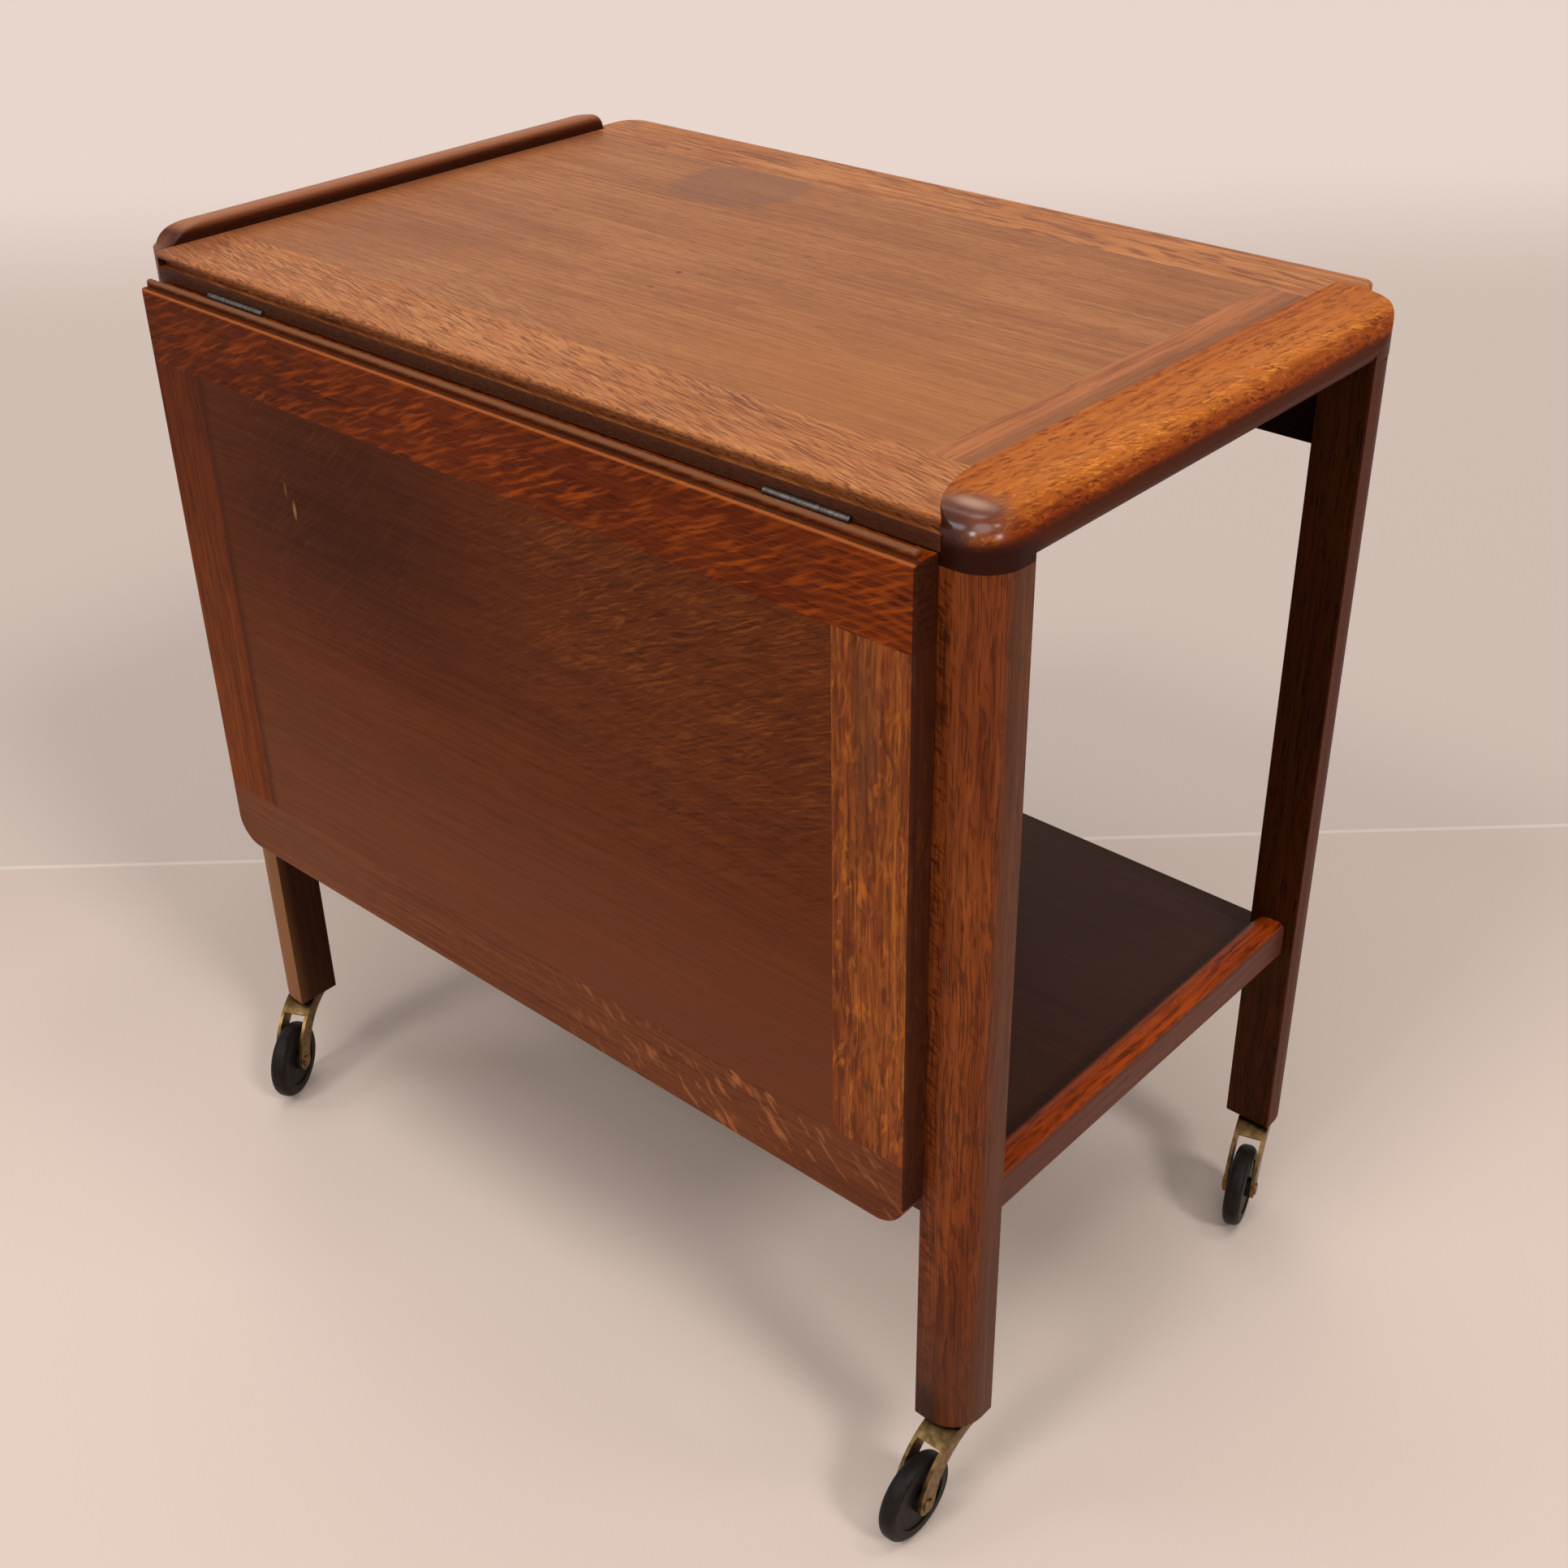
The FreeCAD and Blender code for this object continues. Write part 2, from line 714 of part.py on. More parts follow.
def support_arm(side):
    x0, x1 = sorted((side * arm_inner_x, side * arm_outer_x))
    tip_z = arm_pivot_z - arm_length
    half = arm_width / 2
    arm = box(x0, x1, arm_pivot_y - half, arm_pivot_y + half, tip_z, arm_pivot_z)
    for z in (tip_z, arm_pivot_z):
        arm = arm.fuse(rod(half, at(x0, arm_pivot_y, z), at(x1, arm_pivot_y, z)))
    bore = on_arm_pivot(arm_bolt_radius + running_gap, x0 - cut_past, x1 + cut_past)
    return arm.removeSplitter().cut(bore)


def arm_bolt(side):
    head_x = side * (arm_inner_x - moving_gap)
    shank = on_arm_pivot(arm_bolt_radius, head_x, side * (leg_inner + arm_bolt_depth))
    head = on_arm_pivot(arm_bolt_head_radius, head_x, head_x - side * arm_bolt_head_height)
    return shank.fuse(head).removeSplitter()


def arm_washer(side):
    x_leg = side * leg_inner
    x_arm = side * (leg_inner - arm_washer_thickness)
    washer = on_arm_pivot(arm_washer_radius, x_leg, x_arm)
    return washer.cut(on_arm_pivot(arm_bolt_radius + press_gap, x_leg, x_arm))


def catch_middle_x(side):
    return side * (arm_inner_x + arm_outer_x) / 2


def catch_span():
    middle = arm_tip_reach + catch_plate_offset
    return under_top - middle - catch_plate_length / 2, under_top - middle + catch_plate_length / 2


def catch_screw_places(side):
    low, high = catch_span()
    y = leaf_inner + catch_plate_thickness
    x = catch_middle_x(side)
    return [(at(x, y, z), at(0, -1, 0)) for z in (low + catch_screw_inset, high - catch_screw_inset)]


def catch_plate(side):
    low, high = catch_span()
    x = catch_middle_x(side)
    half = catch_plate_width / 2
    face = leaf_inner + catch_plate_thickness
    plate = box(x - half, x + half, leaf_inner, face, low, high)
    radius = arm_width / 2
    lip_reach = math.sqrt(radius ** 2 - (radius - catch_lip_height) ** 2) + 2 * moving_gap
    lip_top = under_top - arm_tip_reach - lip_reach
    lip = box(x - half, x + half, leaf_inner, face + catch_lip_height,
              lip_top - catch_lip_thickness, lip_top)
    return plate.fuse(lip).removeSplitter().cut([screw_hole(*s) for s in catch_screw_places(side)])


# Casters, built with the stem on the Z axis and the wheel trailing along +X

def fork_side(y):
    z_eye = wheel_radius
    front = -fork_plate_front
    rear = fork_plate_rear
    outer = caster_trail + fork_eye_radius
    inner = caster_trail - fork_eye_radius
    rise = fork_top - z_eye
    hollow = at(front + (inner - front) * fork_hollow_along, y, z_eye + rise * fork_hollow_up)
    edges = [
        line(at(front, y, fork_top), at(rear, y, fork_top)),
        arc(*(point + at(0, y, 0) for point in fork_shoulder())),
        arc(at(outer, y, z_eye), at(caster_trail, y, z_eye - fork_eye_radius), at(inner, y, z_eye)),
        arc(at(inner, y, z_eye), hollow, at(front, y, fork_top - fork_arm_root)),
        line(at(front, y, fork_top - fork_arm_root), at(front, y, fork_top)),
    ]
    return prism(edges, at(0, fork_thickness, 0))


def fork_shoulder():
    outer = caster_trail + fork_eye_radius
    rise = fork_top - wheel_radius
    middle_x = fork_plate_rear + (outer - fork_plate_rear) * fork_shoulder_along
    middle = at(middle_x, 0, wheel_radius + rise * fork_shoulder_up)
    return at(fork_plate_rear, 0, fork_top), middle, at(outer, 0, wheel_radius)


def fork_web():
    shoulder = arc(*fork_shoulder())
    centre = shoulder.Curve.Center
    first, last = shoulder.ParameterRange
    run = (last - first) * fork_web_share
    start, middle, end = (shoulder.valueAt(first + run * part) for part in (0.0, 0.5, 1.0))
    side = at(0, fork_half, 0)
    inward = 1.0 - fork_thickness / shoulder.Curve.Radius

    def inner(point):
        return centre + (point - centre) * inward

    edges = [
        arc(start - side, middle - side, end - side),
        line(end - side, inner(end) - side),
        arc(inner(end) - side, inner(middle) - side, inner(start) - side),
        line(inner(start) - side, start - side),
    ]
    return prism(edges, side * 2)


def on_axle(radius, width):
    start = at(caster_trail, -width / 2, wheel_radius)
    end = at(caster_trail, width / 2, wheel_radius)
    return rod(radius, start, end)


def caster_fork():
    plate = box(-fork_plate_front, fork_plate_rear, -fork_half, fork_half, fork_under, fork_top)
    fork = plate.fuse([fork_web(), fork_side(-fork_half), fork_side(fork_gap / 2)]).removeSplitter()
    stem_hole = rod(stem_radius + press_gap, at(0, 0, fork_under - cut_past),
                    at(0, 0, fork_top + cut_past))
    return fork.cut([stem_hole, on_axle(axle_radius + press_gap, 2 * (fork_half + cut_past))])


def caster_stem():
    shank = rod(stem_radius, at(0, 0, fork_under - stem_head_height), at(0, 0, leg_bottom + stem_length))
    head = rod(stem_head_radius, at(0, 0, fork_under - stem_head_height), at(0, 0, fork_under))
    return shank.fuse(head).removeSplitter()


def caster_axle():
    axle = on_axle(axle_radius, 2 * fork_half)
    for sign in (-1, 1):
        start = at(caster_trail, sign * fork_half, wheel_radius)
        end = at(caster_trail, sign * (fork_half + axle_head_height), wheel_radius)
        axle = axle.fuse(rod(axle_head_radius, start, end))
    return axle.removeSplitter()


def wheel_hub():
    boss_width = fork_gap - 2 * moving_gap
    hub = on_axle(hub_radius, hub_width).fuse(on_axle(hub_boss_radius, boss_width)).removeSplitter()
    return hub.cut(on_axle(axle_radius + running_gap, fork_gap))


def wheel_tyre():
    disc = on_axle(wheel_radius, tyre_width)
    rims = [e for e in disc.Edges if e.BoundBox.YLength < same_place and len(e.Vertexes) == 1]
    disc = disc.makeFillet(tyre_round, rims)
    return disc.cut(on_axle(hub_radius + press_gap, tyre_width + 2 * cut_past))


def turned(shape, heading, x, y):
    piece = shape.copy()
    piece.rotate(at(0, 0, 0), at(0, 0, 1), heading)
    piece.translate(at(x, y, 0))
    return piece


def caster_socket(x, y):
    foot = at(x, y, leg_bottom - socket_flange_thickness)
    tube = rod(socket_radius, foot, at(x, y, socket_top))
    flange = rod(socket_flange_radius, foot, at(x, y, leg_bottom))
    bore = rod(stem_radius + running_gap, at(x, y, fork_under), at(x, y, socket_top + cut_past))
    return tube.fuse(flange).removeSplitter().cut(bore)


# Assembly

def all_nodes():
    nodes = {
        "top_panel": top_panel(),
        "top_front_rail": top_front_rail(),
        "top_rear_rail": top_rear_rail(),
        "top_right_band": top_right_band(),
        "right_end_rail": right_end_rail(),
        "left_gallery_rail": left_gallery_rail(),
        "front_apron": apron(-1),
        "rear_apron": apron(1),
        "top_glue_blocks": glue_blocks(),
        "shelf_panel": shelf_panel(),
        "shelf_right_rail": shelf_rail(1),
        "shelf_left_rail": shelf_rail(-1),
        "leg_dowels": dowel_group(leg_dowel_radius, leg_dowel_places()),
        "apron_dowels": dowel_group(apron_dowel_radius, apron_dowel_places()),
        "shelf_rail_dowels": dowel_group(shelf_dowel_radius, shelf_dowel_places()),
        "leaf_hinge_rail": leaf_hinge_rail(),
        "leaf_bottom_rail": leaf_bottom_rail(),
        "leaf_left_stile": leaf_stile(-1),
        "leaf_right_stile": leaf_stile(1),
        "leaf_panel": leaf_panel(),
        "hinge_top_flaps": Part.makeCompound([hinge_top_flap(x) for x in hinge_centres]),
        "hinge_leaf_flaps": Part.makeCompound([hinge_leaf_flap(x) for x in hinge_centres]),
        "hinge_pins": Part.makeCompound([hinge_pin(x) for x in hinge_centres]),
        "hinge_top_screws": wood_screws([s for x in hinge_centres for s in top_hinge_screw_places(x)]),
        "hinge_leaf_screws": wood_screws([s for x in hinge_centres for s in leaf_hinge_screw_places(x)]),
        "arm_pivot_bolts": Part.makeCompound([arm_bolt(side) for side in (-1, 1)]),
        "arm_washers": Part.makeCompound([arm_washer(side) for side in (-1, 1)]),
        "arm_catch_plates": Part.makeCompound([catch_plate(side) for side in (-1, 1)]),
        "catch_plate_screws": wood_screws([s for side in (-1, 1) for s in catch_screw_places(side)]),
    }
    sides = {"front_right": (1, -1), "rear_right": (1, 1), "front_left": (-1, -1), "rear_left": (-1, 1)}
    headings = {"front_right": caster_angle_front_right, "rear_right": caster_angle_rear_right,
                "front_left": caster_angle_front_left, "rear_left": caster_angle_rear_left}
    nodes["support_arm_left"] = support_arm(-1)
    nodes["support_arm_right"] = support_arm(1)
    sockets = []
    pieces = {"fork": caster_fork(), "stem": caster_stem(), "axle": caster_axle(),
              "hub": wheel_hub(), "tyre": wheel_tyre()}
    for place, (sx, sy) in sides.items():
        x = sx * leg_middle_x
        y = sy * leg_middle_y
        nodes["leg_" + place] = leg(sx, sy)
        sockets.append(caster_socket(x, y))
        for piece, shape in pieces.items():
            nodes["caster_" + piece + "_" + place] = turned(shape, headings[place], x, y)
    nodes["caster_sockets"] = Part.makeCompound(sockets)
    return nodes


def main():
    os.makedirs("parts", exist_ok=True)
    nodes = all_nodes()
    whole = Part.makeCompound(list(nodes.values())).optimalBoundingBox(False)
    to_origin = at(-whole.Center.x, -whole.Center.y, -whole.ZMin)
    for name, shape in nodes.items():
        shape.translate(to_origin)
        shape.exportStep(os.path.join("parts", name + ".step"))
        print(name, len(shape.Solids), shape.isValid(), round(shape.Volume / 1000.0, 2))
    print("moved to the origin by", to_origin)


main()
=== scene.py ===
"""Looks of the drop leaf tea trolley: shellacked oak, tarnished brass casters and moulded rubber wheels."""

import logging
import math
from dataclasses import dataclass
from enum import Enum
from typing import Any, Sequence

import bmesh
import bpy
from mathutils import Matrix, Vector

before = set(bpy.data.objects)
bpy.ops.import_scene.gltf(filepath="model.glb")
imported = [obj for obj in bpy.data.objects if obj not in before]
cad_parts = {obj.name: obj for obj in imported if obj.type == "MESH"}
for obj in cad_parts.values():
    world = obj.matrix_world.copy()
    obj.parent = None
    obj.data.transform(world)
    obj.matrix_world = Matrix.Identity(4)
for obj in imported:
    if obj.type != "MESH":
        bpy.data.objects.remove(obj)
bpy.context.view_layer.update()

LOG = logging.getLogger("tea_trolley")
MM = 0.001

Tree = bpy.types.NodeTree
Socket = bpy.types.NodeSocket
Point = tuple[float, float, float]

# A reach in mm that takes in the whole board.
FAR = 1.0e5

# Sizes of the wood's figure in mm along and across the grain, and the step from board to board.
BEND_SIZE = (150.0, 60.0, 60.0)
STREAK_LENGTH = 240.0
TONE_SIZE = (170.0, 42.0, 42.0)
BOARD_STEP = (131.0, 57.0, 91.0)
PORE_DEPTH = 0.15
GRIT_SIZE = 0.8

# Noise levels between which a tone comes in.
STREAK_SPAN = (0.3, 0.7)
ARCH_SPAN = (0.15, 0.42)
DRIFT_SPAN = (0.4, 0.58)
WORN_SPAN = (0.35, 0.65)

# Share of the slow tones beside the streaks, and half the spread of both at a contrast of 1.
TONE_SHARE = 0.4
TONE_HALF = 0.2

# Shellac and varnish, duller on the late wood than on the early.
SHELLAC_IOR = 1.5
VARNISH_ROUGHNESS = 0.2
PORE_RELIEF = 0.25
GRIT_RELIEF = 0.2
DULLER = 0.07
SMOOTHER = 0.05

# Where lamps are put, in m; their distance changes nothing in the light.
LAMP_AWAY = 3.0


def linear(hex_colour: str) -> tuple[float, float, float, float]:
    """Turns an sRGB hex colour into linear light.

    Args:
        hex_colour: Six hex digits, red first.

    Returns:
        Linear red, green and blue with full alpha.
    """
    parts = [int(hex_colour[i:i + 2], 16) / 255.0 for i in (0, 2, 4)]
    light = [p / 12.92 if p <= 0.04045 else ((p + 0.055) / 1.055) ** 2.4 for p in parts]
    return (light[0], light[1], light[2], 1.0)


def add_node(tree: Tree, kind: str, inputs: dict[Any, Any] | None = None,
             **settings: Any) -> bpy.types.Node:
    """Adds a shader node with its settings, and links or sets its inputs.

    Args:
        tree: The node tree that gets the node.
        kind: The node's type name.
        inputs: Input name or number to a socket to link from or a value to set.
        settings: Attributes to set on the node.

    Returns:
        The new node.
    """
    node = tree.nodes.new(kind)
    for key, value in settings.items():
        setattr(node, key, value)
    for key, value in (inputs or {}).items():
        if isinstance(value, Socket):
            tree.links.new(value, node.inputs[key])
        else:
            node.inputs[key].default_value = value
    return node


class Grain(Enum):
    """The way a board's grain runs, as the turn that lays it along the pattern's X."""

    ALONG_X = (0.0, 0.0, 0.0)
    ALONG_Y = (0.0, 0.0, -math.pi / 2)
    ALONG_Z = (0.0, math.pi / 2, 0.0)


class Face(Enum):
    """The side of a board that is seen most, as the axis that marks turn about."""

    FLAT = (0.0, 0.0, 1.0)
    UPRIGHT = (0.0, 1.0, 0.0)


class Laying(Enum):
    """How a patch lies on the wood: over it, or as a glaze that lets the grain through."""

    OVER = "MIX"
    GLAZE = "MULTIPLY"


@dataclass(frozen=True)
class Patch:
    """A patch of another tone on a board: a ring left by a dish, a rubbed edge, painted shade in a recess, a
    painted highlight.

    Attributes:
        centre: Middle of the patch in mm.
        reach: Half sizes in mm along X, Y and Z; FAR makes the patch a slab.
        colour: sRGB hex colour of the patch.
        strength: How much of it shows at the middle.
        soft: Share of the reach over which it fades.
        ragged: How far the grain pulls its edge about, as a share of the reach.
        laying: Over the wood or as a glaze.
        polish: How much smoother the shellac is there.
        varnish: How much of a clear coat lies on it.
    """

    centre: Point
    reach: Point
    colour: str
    strength: float = 0.5
    soft: float = 0.6
    ragged: float = 0.0
    laying: Laying = Laying.OVER
    polish: float = 0.0
    varnish: float = 0.0


@dataclass(frozen=True)
class Fleck:
    """Short marks in the wood: open pores, or the rays that quarter sawing lays bare.

    Attributes:
        colour: sRGB hex colour of the marks.
        share: How strongly they show.
        length: Length of a mark along the grain in mm.
        width: Width of a mark in mm.
        turn: Angle of the marks to the grain in degrees.
        above: Noise level above which a mark shows; higher means fewer marks.
        drift: How patchy they are, from 0 for even to 1.
        drift_size: Size of those patches in mm along and across the grain.
        wave: How far the marks wave to and fro in mm.
        zone: Where on the board they show, or None for all of it.
        soft: Width of a mark's edge in noise levels.
    """

    colour: str
    share: float
    length: float
    width: float
    turn: float = 0.0
    above: float = 0.56
    drift: float = 0.0
    drift_size: tuple[float, float] = (110.0, 40.0)
    wave: float = 2.0
    zone: Patch | None = None
    soft: float = 0.08


@dataclass(frozen=True)
class Arches:
    """The nested arches of a plain-sawn board.

    Attributes:
        centre: Tip of the innermost arch in mm.
        reach: Spacing of the arches in mm along X, Y and Z.
        colour: sRGB hex colour of the dark lines.
        share: How strongly they show.
        zone: Where on the board they show, or None for all of it.
        fray: How far the streaks pull the lines about, in spacings.
    """

    centre: Point
    reach: Point
    colour: str
    share: float
    zone: Patch | None = None
    fray: float = 5.0


@dataclass(frozen=True)
class OakFinish:
    """Oak, sawn and fumed, under old shellac: dark pores, paler rays and a satin gloss.

    Attributes:
        name: What the surface is.
        grain: Way of the grain.
        dark: Colour of the late wood.
        mid: Colour between.
        light: Colour of the early wood.
        face: Side that is seen most.
        streak: Width of a grain streak in mm.
        contrast: Spread of the streaks' tones.
        waver: How far the grain wanders in mm.
        roughness: Roughness of the shellac.
        gloss: Specular level of the shellac, low where it is worn dull.
        seed: Offset that gives the board its own figure.
        arches: Plain-sawn figure.
        flecks: Pores and rays, the first of which also gives the relief.
        patches: Stains, wear, darker ends, painted shade and painted highlights.
    """

    name: str
    grain: Grain
    dark: str
    mid: str
    light: str
    face: Face = Face.UPRIGHT
    streak: float = 3.0
    contrast: float = 1.0
    waver: float = 10.0
    roughness: float = 0.4
    gloss: float = 0.3
    seed: float = 0.0
    arches: tuple[Arches, ...] = ()
    flecks: tuple[Fleck, ...] = ()
    patches: tuple[Patch, ...] = ()

    def build(self) -> bpy.types.Material:
        """Makes the material.

        Returns:
            The material, with its pattern on Object coordinates.
        """
        material = bpy.data.materials.new(self.name)
        material.use_nodes = True
        tree = material.node_tree
        tree.nodes.clear()
        metres = add_node(tree, "ShaderNodeTexCoord").outputs["Object"]
        place = add_node(tree, "ShaderNodeVectorMath", {0: metres, "Scale": 1.0 / MM},
                         operation="SCALE").outputs[0]
        board = add_node(tree, "ShaderNodeMapping", {
            "Vector": place, "Rotation": self.grain.value,
            "Location": tuple(self.seed * step for step in BOARD_STEP)}).outputs[0]
        wavy = self._bent(tree, board, BEND_SIZE, self.waver)
        streak = self._noise(tree, wavy, (STREAK_LENGTH, self.streak, self.streak), 5.0)
        tone = self._noise(tree, wavy, TONE_SIZE, 2.0)
        colour = self._tones(tree, streak, tone)
        for arches in self.arches:
            colour = self._arched(tree, place, streak, colour, arches)
        marks = [self._marks(tree, place, wavy, streak, fleck) for fleck in self.flecks]
        for mark, fleck in zip(marks, self.flecks):
            colour = self._laid(tree, mark, colour, fleck.colour, Laying.OVER)
        rough = add_node(tree, "ShaderNodeMapRange", {
            "Value": streak, "From Min": STREAK_SPAN[0], "From Max": STREAK_SPAN[1],
            "To Min": self.roughness + DULLER, "To Max": self.roughness - SMOOTHER}).outputs[0]
        coat = 0.0
        for patch in self.patches:
            share = self._patch(tree, place, streak, patch)
            colour = self._laid(tree, share, colour, patch.colour, patch.laying)
            if patch.polish:
                rough = add_node(tree, "ShaderNodeMath", {0: share, 1: -patch.polish, 2: rough},
                                 operation="MULTIPLY_ADD").outputs[0]
            if patch.varnish:
                coat = add_node(tree, "ShaderNodeMath", {0: share, 1: patch.varnish},
                                operation="MULTIPLY").outputs[0]
        self._shade(tree, colour, rough, marks[0] if marks else streak, coat)
        return material

    def _laid(self, tree: Tree, share: Socket, colour: Socket, over: str,
              laying: Laying) -> Socket:
        """Lays one colour over the wood so far.

        Args:
            tree: The material's nodes.
            share: How much of the new colour shows.
            colour: Colour so far.
            over: sRGB hex colour to lay on.
            laying: Over the wood or as a glaze.

        Returns:
            The new colour.
        """
        return add_node(tree, "ShaderNodeMix", {0: share, 6: colour, 7: linear(over)}, data_type="RGBA",
                        blend_type=laying.value, clamp_factor=True).outputs[2]

    def _bent(self, tree: Tree, board: Socket, size: Point, amount: float) -> Socket:
        """Bends straight lines sideways, as grain bends around old knots.

        Args:
            tree: The material's nodes.
            board: Board coordinates in mm.
            size: Size of a bend in mm along and across the grain.
            amount: How far it bends in mm.

        Returns:
            Bent coordinates in mm.
        """
        slow = add_node(tree, "ShaderNodeVectorMath", {0: board, 1: tuple(1.0 / s for s in size)},
                        operation="MULTIPLY").outputs[0]
        noise = add_node(tree, "ShaderNodeTexNoise", {
            "Vector": slow, "Scale": 1.0, "Detail": 2.0}).outputs["Color"]
        centred = add_node(tree, "ShaderNodeVectorMath", {0: noise, 1: (0.5, 0.5, 0.5)},
                           operation="SUBTRACT").outputs[0]
        return add_node(tree, "ShaderNodeVectorMath", {0: centred, 1: (0.0, amount, amount), 2: board},
                        operation="MULTIPLY_ADD").outputs[0]

    def _noise(self, tree: Tree, vector: Socket, size: Sequence[float],
               detail: float) -> Socket:
        """Adds noise whose blotches have a real size.

        Args:
            tree: The material's nodes.
            vector: Coordinates in mm.
            size: Blotch size in mm along and across the grain.
            detail: Noise detail.

        Returns:
            The noise factor.
        """
        sized = add_node(tree, "ShaderNodeVectorMath", {0: vector, 1: tuple(1.0 / s for s in size)},
                         operation="MULTIPLY").outputs[0]
        return add_node(tree, "ShaderNodeTexNoise", {
            "Vector": sized, "Scale": 1.0, "Detail": detail, "Roughness": 0.6}).outputs["Fac"]

    def _tones(self, tree: Tree, streak: Socket, tone: Socket) -> Socket:
        """Colours the streaks between the late and early wood.

        Args:
            tree: The material's nodes.
            streak: Streak noise.
            tone: Slow noise.

        Returns:
            The wood's colour.
        """
        both = add_node(tree, "ShaderNodeMix", {0: TONE_SHARE, 2: streak, 3: tone}).outputs[0]
        half = TONE_HALF / self.contrast
        ramp = add_node(tree, "ShaderNodeValToRGB", {"Fac": both})
        stops = ramp.color_ramp.elements
        stops[0].position, stops[0].color = 0.5 - half, linear(self.dark)
        stops[1].position, stops[1].color = 0.5 + half, linear(self.light)
        stops.new(0.5).color = linear(self.mid)
        return ramp.outputs["Color"]

    def _arched(self, tree: Tree, place: Socket, streak: Socket,
                colour: Socket, arches: Arches) -> Socket:
        """Draws the arches of plain-sawn wood.

        Args:
            tree: The material's nodes.
            place: Object coordinates in mm.
            streak: Streak noise, which frays the arches.
            colour: Colour so far.
            arches: Their place and spacing.

        Returns:
            The colour with the arches.
        """
        far = self._far(tree, place, arches.centre, arches.reach)
        frayed = add_node(tree, "ShaderNodeMath", {0: streak, 1: arches.fray, 2: far},
                          operation="MULTIPLY_ADD").outputs[0]
        ring = add_node(tree, "ShaderNodeMath", {0: frayed, 1: 0.5}, operation="PINGPONG").outputs[0]
        share = add_node(tree, "ShaderNodeMapRange", {
            "Value": ring, "From Min": ARCH_SPAN[0], "From Max": ARCH_SPAN[1], "To Min": 0.0,
            "To Max": arches.share}).outputs[0]
        if arches.zone:
            zone = self._patch(tree, place, streak, arches.zone)
            share = add_node(tree, "ShaderNodeMath", {0: share, 1: zone}, operation="MULTIPLY").outputs[0]
        return self._laid(tree, share, colour, arches.colour, Laying.OVER)

    def _far(self, tree: Tree, place: Socket, centre: Point, reach: Point) -> Socket:
        """Measures how far a point lies from a centre, in reaches.

        Args:
            tree: The material's nodes.
            place: Object coordinates in mm.
            centre: The centre in mm.
            reach: The length that counts as one, in mm along X, Y and Z.

        Returns:
            The distance.
        """
        away = add_node(tree, "ShaderNodeVectorMath", {0: place, 1: centre}, operation="SUBTRACT").outputs[0]
        sized = add_node(tree, "ShaderNodeVectorMath", {0: away, 1: tuple(1.0 / r for r in reach)},
                         operation="MULTIPLY").outputs[0]
        return add_node(tree, "ShaderNodeVectorMath", {0: sized}, operation="LENGTH").outputs["Value"]

    def _patch(self, tree: Tree, place: Socket, streak: Socket,
               patch: Patch) -> Socket:
        """Finds where a patch shows.

        Args:
            tree: The material's nodes.
            place: Object coordinates in mm.
            streak: Streak noise, which pulls the edge about.
            patch: The patch.

        Returns:
            The share of the patch.
        """
        far = self._far(tree, place, patch.centre, patch.reach)
        if patch.ragged:
            far = add_node(tree, "ShaderNodeMath", {0: streak, 1: patch.ragged, 2: far},
                           operation="MULTIPLY_ADD").outputs[0]
        edge = 1.0 + 0.5 * patch.ragged
        return add_node(tree, "ShaderNodeMapRange", {
            "Value": far, "From Min": edge, "From Max": edge - patch.soft, "To Min": 0.0,
            "To Max": patch.strength},
            interpolation_type="SMOOTHSTEP").outputs[0]

    def _marks(self, tree: Tree, place: Socket, wavy: Socket,
               streak: Socket, fleck: Fleck) -> Socket:
        """Draws pores or rays, coarser than the finest real ones so that they show.

        Args:
            tree: The material's nodes.
            place: Object coordinates in mm.
            wavy: Bent board coordinates in mm.
            streak: Streak noise.
            fleck: The marks.

        Returns:
            The share of their colour.
        """
        turned = add_node(tree, "ShaderNodeVectorRotate", {
            "Vector": wavy, "Axis": self.face.value, "Angle": math.radians(fleck.turn)}).outputs[0]
        waved = self._bent(tree, turned, (fleck.length, 0.5 * fleck.length, 0.5 * fleck.length), fleck.wave)
        noise = self._noise(tree, waved, (fleck.length, fleck.width, fleck.width), 1.5)
        share = add_node(tree, "ShaderNodeMapRange", {
            "Value": noise, "From Min": fleck.above, "From Max": fleck.above + fleck.soft,
            "To Max": fleck.share}).outputs[0]
        if fleck.drift:
            along, across = fleck.drift_size
            drift = self._noise(tree, wavy, (along, across, across), 1.0)
            there = add_node(tree, "ShaderNodeMapRange", {
                "Value": drift, "From Min": DRIFT_SPAN[0], "From Max": DRIFT_SPAN[1],
                "To Min": 1.0 - fleck.drift, "To Max": 1.0}).outputs[0]
            share = add_node(tree, "ShaderNodeMath", {0: share, 1: there}, operation="MULTIPLY").outputs[0]
        if fleck.zone:
            zone = self._patch(tree, place, streak, fleck.zone)
            share = add_node(tree, "ShaderNodeMath", {0: share, 1: zone}, operation="MULTIPLY").outputs[0]
        return share

    def _shade(self, tree: Tree, colour: Socket, rough: Socket,
               pore: Socket, coat: Socket | float) -> None:
        """Adds the shader: shellac over wood with open pores.

        Args:
            tree: The material's nodes.
            colour: The wood's colour.
            rough: Roughness of the shellac.
            pore: Pore share, for the relief.
            coat: Share of clear varnish on top.
        """
        bump = add_node(tree, "ShaderNodeBump", {
            "Height": pore, "Strength": PORE_RELIEF, "Distance": PORE_DEPTH * MM}, invert=True).outputs[0]
        shader = add_node(tree, "ShaderNodeBsdfPrincipled", {
            "Base Color": colour, "Roughness": rough, "Normal": bump, "IOR": SHELLAC_IOR,
            "Specular IOR Level": self.gloss, "Coat Weight": coat, "Coat Roughness": VARNISH_ROUGHNESS})
        add_node(tree, "ShaderNodeOutputMaterial", {"Surface": shader.outputs[0]})


